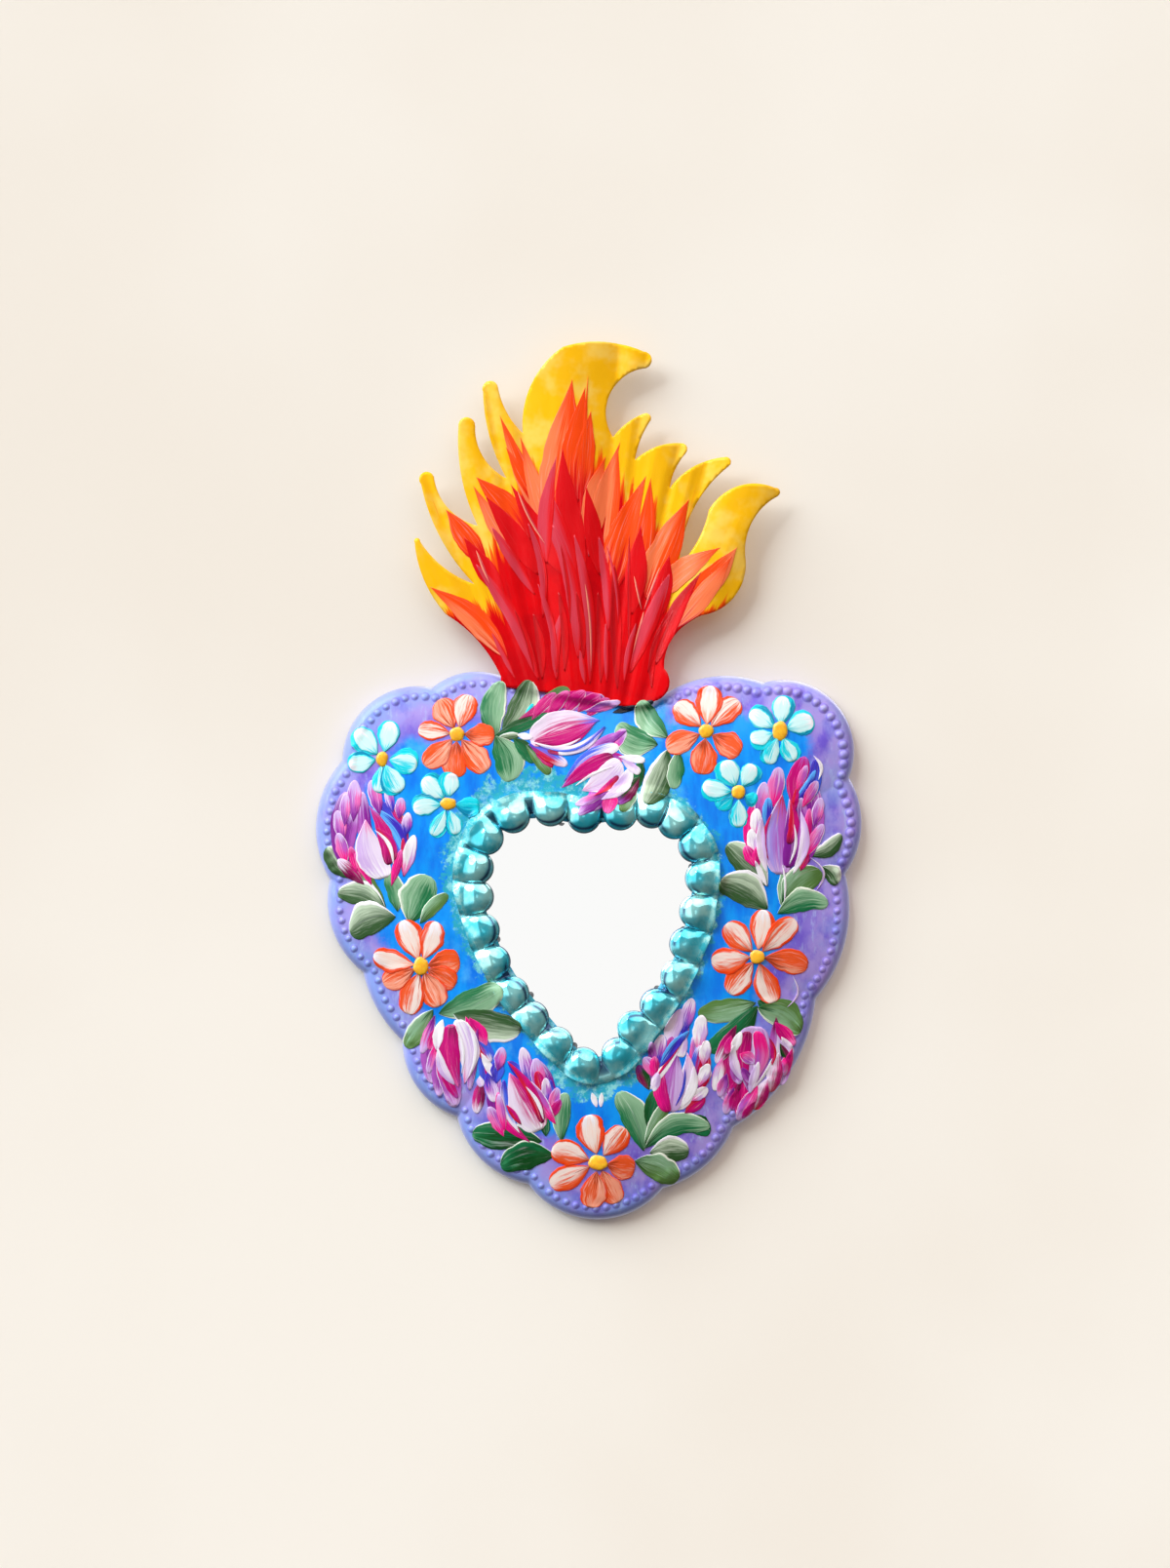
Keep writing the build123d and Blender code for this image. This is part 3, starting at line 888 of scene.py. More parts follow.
@dataclass
class Body:
    """Points and faces that grow into one mesh, with values stored at its points."""

    points: list = field(default_factory=list)
    faces: list = field(default_factory=list)
    values: dict = field(default_factory=dict)
    count: int = 0

    def take(self, points: np.ndarray, faces: Iterable[Sequence[int]],
             values: Optional[dict[str, np.ndarray]] = None) -> None:
        """Add points, the faces between them and their stored values.

        Args:
            points: rows of x, up, h.
            faces: corner numbers within these points.
            values: an array of numbers, vectors or colours for each name.
        """
        self.points.append(np.asarray(points, dtype=float))
        self.faces.extend([[corner + self.count for corner in face] for face in faces])
        self.count += len(points)
        for name, array in (values or {}).items():
            self.values.setdefault(name, []).append(np.asarray(array, dtype=float))

    def make(self, name: str, material: bpy.types.Material) -> bpy.types.Object:
        """Make the object.

        Args:
            name: name of the object.
            material: its material.
        Returns:
            The object, linked to the scene.
        """
        mesh = bpy.data.meshes.new(name)
        mesh.from_pydata(stand(np.concatenate(self.points)).tolist(), [], self.faces)
        for label, parts in self.values.items():
            data = np.concatenate(parts)
            kinds = {1: ("FLOAT", "value"), 3: ("FLOAT_VECTOR", "vector"), 4: ("FLOAT_COLOR", "color")}
            kind, key = kinds[1 if data.ndim == 1 else data.shape[1]]
            layer = mesh.attributes.new(label, kind, "POINT")
            layer.data.foreach_set(key, data.astype(np.float32).ravel())
        work = bmesh.new()
        work.from_mesh(mesh)
        bmesh.ops.recalc_face_normals(work, faces=work.faces)
        work.to_mesh(mesh)
        work.free()
        mesh.polygons.foreach_set("use_smooth", [True] * len(mesh.polygons))
        mesh.materials.append(material)
        made = bpy.data.objects.new(name, mesh)
        bpy.context.scene.collection.objects.link(made)
        return made


def ring_faces(rings: int, stations: int) -> list[list[int]]:
    """Faces of a closed skin made of rings; the last ring joins the first.

    Args:
        rings: number of rings.
        stations: points of each ring.
    Returns:
        Corner numbers of each face.
    """
    faces = []
    for ring in range(rings):
        for station in range(stations):
            after = (station + 1) % stations
            here, there = ring * stations, ((ring + 1) % rings) * stations
            faces.append([here + station, here + after, there + after, there + station])
    return faces


def patch_faces(rows: int, columns: int) -> list[list[int]]:
    """Faces of a closed patch: an upper grid of points and then a lower one.

    Args:
        rows: rows of each grid.
        columns: columns of each grid.
    Returns:
        Corner numbers of each face.
    """
    lower = rows * columns
    faces = []
    for row in range(rows - 1):
        for column in range(columns - 1):
            a = row * columns + column
            quad = [a, a + 1, a + columns + 1, a + columns]
            faces.append(quad)
            faces.append([corner + lower for corner in reversed(quad)])
    edge = list(range(columns - 1))
    edge += [row * columns + columns - 1 for row in range(rows - 1)]
    edge += [(rows - 1) * columns + column for column in range(columns - 1, 0, -1)]
    edge += [row * columns for row in range(rows - 1, 0, -1)]
    for first, second in zip(edge, edge[1:] + edge[:1]):
        faces.append([first, first + lower, second + lower, second])
    return faces


def disc_faces(rings: int, spokes: int) -> list[list[int]]:
    """Faces of a closed disc: its middle, the rings round it and the middle of its foot.

    Args:
        rings: number of rings; the last one is the foot's.
        spokes: points of each ring.
    Returns:
        Corner numbers of each face.
    """
    pairs = [(spoke, (spoke + 1) % spokes) for spoke in range(spokes)]
    last = 1 + (rings - 1) * spokes
    faces = [[0, 1 + here, 1 + after] for here, after in pairs]
    for start in range(1, last, spokes):
        faces += [[start + here, start + spokes + here, start + spokes + after, start + after]
                  for here, after in pairs]
    return faces + [[last + spokes, last + after, last + here] for here, after in pairs]


@dataclass
class Drape:
    """Finds how high the painted surface stands at a place."""

    tree: BVHTree

    @classmethod
    def over(cls, objects: Sequence[bpy.types.Object]) -> "Drape":
        """Make a drape over some objects.

        Args:
            objects: what the paint lies on.
        Returns:
            The drape.
        """
        points: list = []
        faces: list = []
        for item in objects:
            start = len(points)
            points.extend(vertex.co[:] for vertex in item.data.vertices)
            faces.extend([start + corner for corner in face.vertices] for face in item.data.polygons)
        return cls(BVHTree.FromPolygons(points, faces))

    def heights(self, points: np.ndarray) -> np.ndarray:
        """Height of the surface at some places.

        Args:
            points: rows of x and up.
        Returns:
            One h for each row; that of the nearest metal where there is none straight below.
        """
        found = []
        ray = Vector((0.0, 1.0, 0.0))
        for x, up in points[:, :2]:
            hit = self.tree.ray_cast(Vector((x / MM, RAY_START, up / MM)), ray)
            if hit[0] is None:
                near = self.tree.find_nearest(Vector((x / MM, NEAR_DEPTH, up / MM)))
                found.append(-near[0].y * MM)
            else:
                found.append(-hit[0].y * MM)
        return np.array(found)


# ---------------------------------------------------------------- the mirror's opening and the heart


@dataclass(frozen=True)
class MirrorShape:
    """Outline of the mirror's opening."""

    width: float = 69.4
    height: float = 78.5
    shift: float = -1.0
    top: float = -20.4
    marks: tuple = (
        (-0.010, 0.024), (0.259, 0.001), (0.432, 0.052), (0.500, 0.199), (0.476, 0.403),
        (0.360, 0.670), (0.202, 0.868), (0.050, 1.000), (-0.122, 0.874), (-0.317, 0.664),
        (-0.454, 0.415), (-0.500, 0.237), (-0.439, 0.065), (-0.274, 0.000),
    )

    def outline(self, steps: int = 20) -> np.ndarray:
        """Closed outline, clockwise.

        Args:
            steps: points between two marks.
        Returns:
            Rows of x and up.
        """
        marks = [(self.shift + x * self.width, self.top - down * self.height) for x, down in self.marks]
        return closed_spline(np.array(marks), steps)

    def reach(self, bearings: np.ndarray, out: float) -> np.ndarray:
        """How far from the heart's centre a line stands that runs a distance outside the opening.

        Args:
            bearings: rows of unit x and up.
            out: distance outside the opening.
        Returns:
            One distance for each bearing.
        """
        loop = self.outline()
        low = np.full(len(bearings), 5.0)
        high = np.full(len(bearings), 90.0)
        for _ in range(24):
            middle = (low + high) / 2.0
            points = HEART_CENTRE + bearings * middle[:, None]
            gap = away(points, loop)
            short = inside(points, loop) | (gap < out)
            low = np.where(short, middle, low)
            high = np.where(short, high, middle)
        return (low + high) / 2.0


@dataclass
class HeartFront:
    """The pressed front: scalloped rim, turned lip, low dome and flat land round the mirror."""

    mirror: MirrorShape
    width: float = 190.0
    height: float = 190.7
    top: float = 32.6
    sheet: float = 0.5
    lip: float = 4.0
    lip_height: float = 6.2
    arc_pitch: float = 0.8
    land_out: float = 13.0  # how far the flat land runs from the mirror's opening
    hole_out: float = 2.0  # how far the sheet's own edge stays from it
    ring_counts: tuple[int, int, int] = (9, 50, 7)  # of the lip, the dome and the land
    swell: float = 0.32  # hammered unevenness of the dome, broad and fine
    ripple: float = 0.10
    cleft: Point = (71.0, 98.0)  # bearings without beads, in degrees
    bead_inset: float = 4.5
    bead_pitch: float = 3.55
    start: Point = (0.115, 0.059)
    scallops: tuple = (
        ((0.226, 0.009), (0.321, 0.020)), ((0.443, 0.048), (0.477, 0.193)),
        ((0.500, 0.275), (0.470, 0.369)), ((0.471, 0.490), (0.416, 0.597)),
        ((0.369, 0.731), (0.265, 0.832)), ((0.222, 0.895), (0.136, 0.943)),
        ((0.007, 1.000), (-0.111, 0.936)), ((-0.190, 0.898), (-0.242, 0.813)),
        ((-0.315, 0.759), (-0.342, 0.674)), ((-0.389, 0.615), (-0.414, 0.549)),
        ((-0.470, 0.472), (-0.475, 0.380)), ((-0.500, 0.273), (-0.452, 0.162)),
        ((-0.401, 0.057), (-0.287, 0.029)), ((-0.213, 0.000), (-0.163, 0.007)),
        ((-0.025, 0.036), (0.115, 0.059)),
    )
    # bearing in degrees, and the violet band's width there
    violet_widths: tuple = (
        (-180, 13.0), (-150, 12.0), (-125, 14.0), (-90, 22.0), (-60, 20.0), (-35, 19.0),
        (-10, 22.0), (20, 20.0), (45, 14.0), (62, 12.0), (68, 9.0), (72, 0.0), (97, 0.0),
        (104, 13.0), (112, 17.0), (128, 20.0), (150, 13.0), (180, 13.0),
    )
    # bearing in degrees, and how far the sponged turquoise runs from the mirror there
    sponge_widths: tuple = (
        (-180, 14.0), (-150, 12.8), (-110, 13.0), (-92, 17.5), (-75, 14.5), (-55, 12.6), (-20, 12.0),
        (30, 12.0), (60, 12.4), (80, 16.0), (105, 19.0), (130, 18.0), (150, 14.5), (180, 14.0),
    )

    def point(self, across: float, down: float) -> Point:
        """Bench place of a point given as shares of the heart's width and height."""
        return (across * self.width, self.top - down * self.height)

    def outline(self) -> np.ndarray:
        """Scalloped outline, clockwise.

        Returns:
            Rows of x and up.
        """
        arcs = [(self.point(*crown), self.point(*notch)) for crown, notch in self.scallops]
        return arc_chain(self.point(*self.start), arcs, self.arc_pitch, 6)

    def facts(self, points: np.ndarray, outline: np.ndarray) -> dict[str, np.ndarray]:
        """Values that the heart's paint reads.

        Args:
            points: rows of x, up, h.
            outline: the heart's outline.
        Returns:
            An array for each name.
        """
        flat = points[:, :2]
        from_centre = flat - HEART_CENTRE
        angle = np.degrees(np.arctan2(from_centre[:, 1], from_centre[:, 0]))
        violet = np.interp(angle, *zip(*self.violet_widths))
        sponge = np.interp(angle, *zip(*self.sponge_widths))
        pale = 0.25 + 0.75 * ease(40.0, -60.0, from_centre[:, 0] + 0.5 * from_centre[:, 1])
        loop = self.mirror.outline()
        return {"inset": away(flat, outline), "out": away(flat, loop), "violet_width": violet,
                "sponge_width": sponge, "pale": pale, "pooling_and_painted_light": np.zeros(len(flat))}

    def make(self, material: bpy.types.Material) -> bpy.types.Object:
        """Make the front.

        Args:
            material: the heart's paint.
        Returns:
            The front.
        """
        outline = self.outline()
        spokes = outline - HEART_CENTRE
        reach = np.linalg.norm(spokes, axis=1)
        bearings = spokes / reach[:, None]
        land = self.mirror.reach(bearings, self.land_out)
        hole = self.mirror.reach(bearings, self.hole_out)
        lip_count, dome_count, land_count = self.ring_counts
        rings = []
        for angle in np.radians(np.linspace(0.0, 90.0, lip_count)):
            inset, rise = self.lip * (1.0 - math.cos(angle)), self.lip_height * math.sin(angle)
            rings.append((reach - inset, np.full(len(reach), rise)))
        shoulder = reach - self.lip
        climb = LAND_HEIGHT - self.lip_height
        for share in np.linspace(0.0, 1.0, dome_count)[1:]:
            rise = self.lip_height + climb * math.sin(share * math.pi / 2.0)
            rings.append((shoulder + (land - shoulder) * share, np.full(len(reach), rise)))
        for share in np.linspace(0.0, 1.0, land_count)[1:]:
            rings.append((land + (hole - land) * share, np.full(len(reach), LAND_HEIGHT)))
        radius = np.array([ring[0] for ring in rings])
        rise = np.array([ring[1] for ring in rings])
        run, lift = np.gradient(radius, axis=0), np.gradient(rise, axis=0)
        span = np.maximum(np.hypot(run, lift), 1e-9)
        back_radius = radius + lift / span * -self.sheet
        back_rise = np.maximum(rise + run / span * self.sheet, 0.0)
        front = self.place(radius, rise, bearings)
        flat = front.reshape(-1, 3)
        swell = wobble(flat, 14.0, 1.7) * self.swell + wobble(flat, 5.0, 8.2) * self.ripple
        inset = away(flat, outline)
        mask = ease(1.5, 9.0, inset) * ease(11.0, 15.0, away(flat, self.mirror.outline()))
        front[..., 2] += (swell * mask).reshape(radius.shape)
        back = self.place(back_radius, back_rise, bearings)
        skin = np.concatenate((front, back[::-1]))
        points = skin.reshape(-1, 3)
        body = Body()
        body.take(points, ring_faces(len(skin), len(outline)), self.facts(points, outline))
        return body.make("heart_front_painted", material)

    def place(self, radius: np.ndarray, rise: np.ndarray, bearings: np.ndarray) -> np.ndarray:
        """Points at distances from the heart's centre.

        Args:
            radius: distance for each ring and station.
            rise: h for each ring and station.
            bearings: unit x and up for each station.
        Returns:
            Points by ring and station.
        """
        flat = HEART_CENTRE + bearings[None] * radius[..., None]
        return np.concatenate((flat, rise[..., None]), axis=2)

    def beads(self, drape: Drape, material: bpy.types.Material) -> bpy.types.Object:
        """Make the row of punched beads inside the lip.

        Args:
            drape: height of the front.
            material: the heart's paint.
        Returns:
            The beads as one object.
        """
        outline = self.outline()
        spokes = outline - HEART_CENTRE
        reach = np.linalg.norm(spokes, axis=1)
        row = HEART_CENTRE + spokes * ((reach - self.bead_inset) / reach)[:, None]
        steps = np.linalg.norm(np.roll(row, -1, 0) - row, axis=1)
        run = np.concatenate(((0.0,), np.cumsum(steps)))
        closed = np.concatenate((row, row[:1]))
        count = round(run[-1] / self.bead_pitch)
        body = Body()
        for number in range(count):
            far = run[-1] * (number + 0.5) / count
            place = np.array([np.interp(far, run, closed[:, axis]) for axis in (0, 1)])
            bearing = math.degrees(math.atan2(*(place - HEART_CENTRE)[::-1]))
            if self.cleft[0] < bearing < self.cleft[1]:
                continue
            place += np.array((noise.noise(Vector((number * 1.3, 0.5, 2.0))),
                               noise.noise(Vector((number * 1.7, 4.5, 1.0))))) * 0.5
            side = ease(20.0, 70.0, place[0]) * ease(-60.0, -20.0, place[1])
            size = 1.22 + 0.40 * float(side) + 0.30 * noise.noise(Vector((number * 0.9, 7.5, 3.0)))
            self.bead(body, place, size, 0.58 + 0.2 * float(side), drape, outline)
        return body.make("rim_beads", material)

    def bead(self, body: Body, place: np.ndarray, radius: float, height: float,
             drape: Drape, outline: np.ndarray) -> None:
        """Add one bead.

        Args:
            body: where to add it.
            place: x and up of its middle.
            radius: its radius.
            height: how far it stands out.
            drape: height of the front.
            outline: the heart's outline.
        """
        spokes = 18
        shares = (0.0, 0.16, 0.32, 0.48, 0.62, 0.76, 0.9, 1.08, 1.3)
        # the third list holds a painted shade ring round the bead's foot
        flat, lift, pooling_and_painted_light = [place], [height], [0.0]
        for share in shares[1:]:
            for spoke in range(spokes):
                turn = math.tau * spoke / spokes
                flat.append(place + np.array((math.cos(turn), math.sin(turn))) * share * radius)
                dome = height * max(0.0, 1.0 - share**2) ** 1.2
                lift.append(max(dome, 0.035) if share < 1.3 else -0.03)
                pooling_and_painted_light.append(float(ease(0.55, 0.95, share) * ease(1.32, 1.05, share)))
        flat.append(place)
        lift.append(-0.25)
        pooling_and_painted_light.append(0.0)
        flat_points = np.array(flat)
        points = np.column_stack((flat_points, drape.heights(flat_points) + np.array(lift)))
        facts = {**self.facts(points, outline), "pooling_and_painted_light": np.array(pooling_and_painted_light)}
        body.take(points, disc_faces(len(shares) - 1, spokes), facts)


# ---------------------------------------------------------------- the bezel


@dataclass
class Bezel:
    """The ring of hollow lobes round the mirror, with its smooth outer ridge."""

    mirror: MirrorShape
    radius: float = 5.9
    rise: float = 3.9
    tail: float = 5.2
    base: float = 12.15
    ridge_inner: float = 3.6
    ridge_outer: float = 11.4
    ridge_rise: float = 1.7
    stations: int = 1500
    rings: int = 46
    tail_drop: float = 0.36  # share of a lobe's height that is lost along its tail
    crease_depth: float = 0.55
    dents: float = 0.2  # unevenness of the pressed lobes, broad and fine
    fine_dents: float = 0.025
    lobes: tuple = (
        (527, 837), (565, 830), (599, 837), (636, 834), (668, 832), (691, 843), (712, 867),
        (719, 900), (713, 934), (703, 967), (694, 1000), (673, 1029), (650, 1052), (634, 1079),
        (598, 1089), (571, 1068), (546, 1042), (526, 1017), (507, 985), (496, 953), (490, 919),
        (490, 889), (500, 859),
    )

    def heads(self) -> tuple[np.ndarray, np.ndarray]:
        """Middles of the lobes' heads and the directions that their tails run in.

        Returns:
            Rows of x and up for each.
        """
        centres = np.array([grid(*lobe) for lobe in self.lobes])
        along = np.roll(centres, -1, 0) - np.roll(centres, 1, 0)
        outward = np.stack((-along[:, 1], along[:, 0]), axis=1)
        return centres, outward / np.linalg.norm(outward, axis=1)[:, None]

    def inner_edge(self, bearings: np.ndarray, centres: np.ndarray) -> np.ndarray:
        """Distance from the heart's centre to the scalloped inner edge.

        Args:
            bearings: rows of unit x and up.
            centres: middles of the lobes.
        Returns:
            One distance for each bearing.
        """
        edge = self.mirror.reach(bearings, self.ridge_inner)
        for centre in centres - HEART_CENTRE:
            along = bearings @ centre
            left = self.radius**2 - (centre @ centre - along**2)
            near = along - np.sqrt(np.maximum(left, 0.0))
            edge = np.where((left > 0.0) & (along > 0.0), np.minimum(edge, near), edge)
        return edge

    def form(self, flat: np.ndarray, out: np.ndarray) -> tuple[np.ndarray, np.ndarray]:
        """Height of the bezel, and how deep in a crease each point lies.

        Args:
            flat: rows of x and up.
            out: their distance from the mirror's opening.
        Returns:
            Height above the bezel's foot, and a crease value from 0 to 1.
        """
        centres, outward = self.heads()
        domes = []
        for number, (centre, way) in enumerate(zip(centres, outward)):
            gap = flat - centre
            run = np.clip(gap @ way, 0.0, self.tail)
            off = np.linalg.norm(gap - run[:, None] * way, axis=1)
            size = self.radius * (1.0 + 0.03 * math.sin(number * 2.7))
            dome = np.sqrt(np.maximum(0.0, 1.0 - (off / size) ** 2))
            drop = 1.0 - self.tail_drop * ease(0.0, self.tail, run)
            domes.append(self.rise * (1.0 + 0.10 * math.sin(number * 1.9)) * dome**0.9 * drop)
        ranked = np.sort(np.array(domes), axis=0)
        share = np.clip((out - self.ridge_inner) / (self.ridge_outer - self.ridge_inner), 0.0, 1.0)
        ridge = self.ridge_rise * np.sin(math.pi * share**1.25) ** 0.75
        ridge = np.where(out < self.ridge_inner, 0.0, ridge)
        height = (ranked[-1] ** 5 + ridge**5) ** 0.2
        crease = np.exp(-(((ranked[-1] - ranked[-2]) / 0.7) ** 2)) * ease(10.5, 7.0, out)
        return height, crease

    def make(self, material: bpy.types.Material) -> bpy.types.Object:
        """Make the bezel.

        Args:
            material: the lacquer.
        Returns:
            The bezel.
        """
        turns = math.tau * np.arange(self.stations) / self.stations
        bearings = np.stack((np.cos(turns), np.sin(turns)), axis=1)
        inner = self.inner_edge(bearings, self.heads()[0])
        outer = self.mirror.reach(bearings, self.ridge_outer)
        outer = outer + wobble(bearings * 60.0, 9.0, 3.3) * 0.8
        shares = 0.5 - 0.5 * np.cos(np.linspace(0.0, math.pi, self.rings))
        radius = inner[None] + (outer - inner)[None] * shares[:, None]
        flat = (HEART_CENTRE + bearings[None] * radius[..., None]).reshape(-1, 2)
        opening = self.mirror.outline()
        out = away(flat, opening) * np.where(inside(flat, opening), -1.0, 1.0)
        height, crease = self.form(flat, out)
        body_mask = np.clip(height / 1.5, 0.0, 1.0)
        dents = wobble(flat, 4.6, 6.1) * self.dents + wobble(flat, 2.4, 2.2) * self.fine_dents
        height = height + dents * body_mask
        height = height - self.crease_depth * crease * body_mask
        height = np.maximum(height, 0.0).reshape(radius.shape)
        height[0], height[-1] = 0.0, 0.0
        # painted shade and painted reflection: dark lacquer in the creases between lobes, a thin line along the inner
        # edge, a broken crescent just inside it and a faint band at the outer ridge's foot
        inner_edge_shade_and_reflection = np.exp(-((radius - inner[None]) / 0.5) ** 2).ravel()
        broken = ease(-0.3, 0.1, wobble(flat, 6.0, 9.4))
        crescent_reflection = np.exp(-(((radius - inner[None]).ravel() - 1.7) / 0.65) ** 2) * broken
        foot = np.exp(-((outer[None] - radius) / 0.6) ** 2).ravel()
        dark = np.clip(0.85 * crease + 0.7 * inner_edge_shade_and_reflection + crescent_reflection + 0.3 * foot, 0.0, 1.0)
        outer_band = ease(8.2, 10.4, out)
        top = np.column_stack((flat, self.base + height.ravel()))
        low = [np.column_stack((HEART_CENTRE + bearings * edge[:, None],
                                np.full(self.stations, LAND_HEIGHT - 0.1))) for edge in (outer, inner)]
        body = Body()
        # the value stored as crease is that painted shade and painted reflection
        facts = {"crease": np.concatenate((dark, np.ones(2 * self.stations))),
                 "outer": np.concatenate((outer_band, np.ones(2 * self.stations)))}
        body.take(np.concatenate([top] + low), ring_faces(self.rings + 2, self.stations), facts)
        return body.make("mirror_bezel_lobes", material)


# ---------------------------------------------------------------- the flame


@dataclass
class Flame:
    """The flame: one cut sheet with pleats that fan out from its foot."""

    width: float = 126.8
    height: float = 126.1
    foot: float = 20.7
    back: float = 6.5
    sheet: float = 0.5
    rise: float = 0.11  # height of a pleat, in shares of its width
    crimp: float = 0.30  # height of the small flutes on the pleats
    pitch: float = 0.95
    tip_reach: int = 26  # steps of the fan on each side over which its tips are smoothed
    start: Point = (-0.241, 0.081)
    arcs: tuple = (
        ((-0.306, 0.181), (-0.391, 0.251)), ((-0.448, 0.338), (-0.4765, 0.447)),
        ((-0.474, 0.460), (-0.461, 0.451)), ((-0.398, 0.381), (-0.314, 0.335)),
        ((-0.418, 0.485), (-0.459, 0.608)), ((-0.444, 0.644), (-0.424, 0.630)),
        ((-0.374, 0.532), (-0.304, 0.495)), ((-0.353, 0.655), (-0.357, 0.765)),
        ((-0.335, 0.793), (-0.311, 0.769)), ((-0.278, 0.668), (-0.226, 0.626)),
        ((-0.281, 0.779), (-0.290, 0.862)), ((-0.269, 0.894), (-0.248, 0.873)),
        ((-0.219, 0.797), (-0.181, 0.750)), ((-0.155, 0.889), (-0.072, 0.984)),
        ((0.045, 1.000), (0.148, 0.975)), ((0.172, 0.956), (0.156, 0.929)),
        ((0.053, 0.845), (0.066, 0.739)), ((0.102, 0.776), (0.150, 0.804)),
        ((0.169, 0.797), (0.165, 0.779)), ((0.138, 0.723), (0.126, 0.676)),
        ((0.185, 0.712), (0.250, 0.723)), ((0.268, 0.713), (0.264, 0.693)),
        ((0.232, 0.640), (0.221, 0.598)), ((0.287, 0.658), (0.369, 0.683)),
        ((0.388, 0.674), (0.381, 0.657)), ((0.282, 0.532), (0.248, 0.386)),
        ((0.303, 0.464), (0.328, 0.538)), ((0.395, 0.598), (0.508, 0.599)),
        ((0.523, 0.590), (0.516, 0.576)), ((0.448, 0.508), (0.429, 0.400)),
        ((0.400, 0.302), (0.308, 0.248)), ((0.290, 0.239), (0.271, 0.227)),
        ((0.223, 0.176), (0.206, 0.102)), ((0.220, 0.057), (0.172, 0.011)),
        ((0.130, -0.001), (0.086, 0.000)), ((-0.060, 0.028), (-0.217, 0.049)),
        ((-0.236, 0.059), (-0.241, 0.081)),
    )
    creases: tuple = (
        (-0.279, -0.815), (-0.198, -0.590), (-0.158, -0.472), (-0.113, -0.306), (-0.070, -0.220),
        (0.016, 0.083), (0.056, 0.164), (0.097, 0.306), (0.145, 0.410), (0.257, 0.740),
    )

    def point(self, across: float, up: float) -> Point:
        """Bench place of a point given as shares of the flame's width and height."""
        return (across * self.width, self.foot + up * self.height)

    def outline(self) -> np.ndarray:
        """Outline of the flame.

        Returns:
            Rows of x and up.
        """
        arcs = [(self.point(*middle), self.point(*end)) for middle, end in self.arcs]
        return arc_chain(self.point(*self.start), arcs, self.pitch, 5)

    def fan(self, points: np.ndarray) -> tuple[np.ndarray, np.ndarray, np.ndarray]:
        """Place of points in the fan of pleats.

        Args:
            points: rows of x and up.
        Returns:
            Pleat number with its part passed, share of the flame's height, and pleat width.
        """
        share = (points[:, 1] - self.foot) / self.height
        foot, top = (np.array(column) * self.width for column in zip(*self.creases))
        lines = foot[None] + (top - foot)[None] * share[:, None]
        number = np.clip((points[:, 0:1] > lines).sum(1) - 1, 0, len(foot) - 2)
        rows = np.arange(len(points))
        wide = lines[rows, number + 1] - lines[rows, number]
        passed = np.clip((points[:, 0] - lines[rows, number]) / wide, 0.0, 1.0)
        return number + passed, share, wide

    def heights(self, points: np.ndarray) -> np.ndarray:
        """Height of the sheet's front.

        Args:
            points: rows of x and up.
        Returns:
            One h for each row.
        """
        turn, share, wide = self.fan(points)
        passed = turn - np.floor(np.minimum(turn, len(self.creases) - 1.001))
        fold = 0.5 + 0.16 * np.sin(np.floor(turn) * 2.3 + 0.8)
        tent = np.where(passed < fold, passed / fold, (1.0 - passed) / (1.0 - fold))
        arch = 4.0 * passed * (1.0 - passed)
        main = self.rise * wide * (0.25 * tent + 0.75 * arch)
        small = np.abs((turn * 2.5 + 0.35 * np.sin(share * 5.0)) % 1.0 * 2.0 - 1.0)
        crimp = self.crimp * small * ease(0.02, 0.2, share) * ease(1.0, 0.55, share)
        swell = wobble(points, 9.0, 5.1) * 0.18 + wobble(points, 3.5, 2.4) * 0.05
        return self.back + self.sheet + main + crimp + swell

    def depth(self, points: np.ndarray, outline: np.ndarray) -> np.ndarray:
        """How far points lie below the flame's yellow tips, for its paint.

        Args:
            points: rows of x and up.
            outline: the flame's outline.
        Returns:
            One depth for each row, in millimetres.
        """
        foot, top = (np.array(column) * self.width for column in zip(*self.creases))
        turns = np.linspace(0.0, len(foot) - 1.0, 361)
        low = np.interp(turns, np.arange(len(foot)), foot)
        high = np.interp(turns, np.arange(len(foot)), top)
        shares = np.linspace(0.0, 1.02, 140)
        x = low[:, None] + (high - low)[:, None] * shares[None]
        up = np.broadcast_to(self.foot + shares * self.height, x.shape)
        held = inside(np.stack((x.ravel(), up.ravel()), axis=1), outline).reshape(x.shape)
        gone = np.maximum.accumulate(held, axis=1) & ~held
        tip = np.where(gone.any(1), shares[gone.argmax(1)], 0.0)
        reach = self.tip_reach
        padded = np.pad(tip, reach, mode="edge")
        valley = np.array([padded[i : i + 2 * reach + 1].min() for i in range(len(tip))])
        kernel = np.hanning(2 * reach + 1)
        valley = np.convolve(np.pad(valley, reach, mode="edge"), kernel / kernel.sum(), mode="valid")
        line = valley - 0.035 + 0.14 * (tip - valley)
        turn, share, _ = self.fan(points)
        below = (np.interp(turn, turns, line) - share) * self.height
        below = np.maximum(below, 45.0 * ease(0.34, 0.12, share))
        edge = (away(points, outline) + 0.2) * 5.0 + 60.0 * ease(0.62, 0.35, share)
        return np.minimum(below, edge)

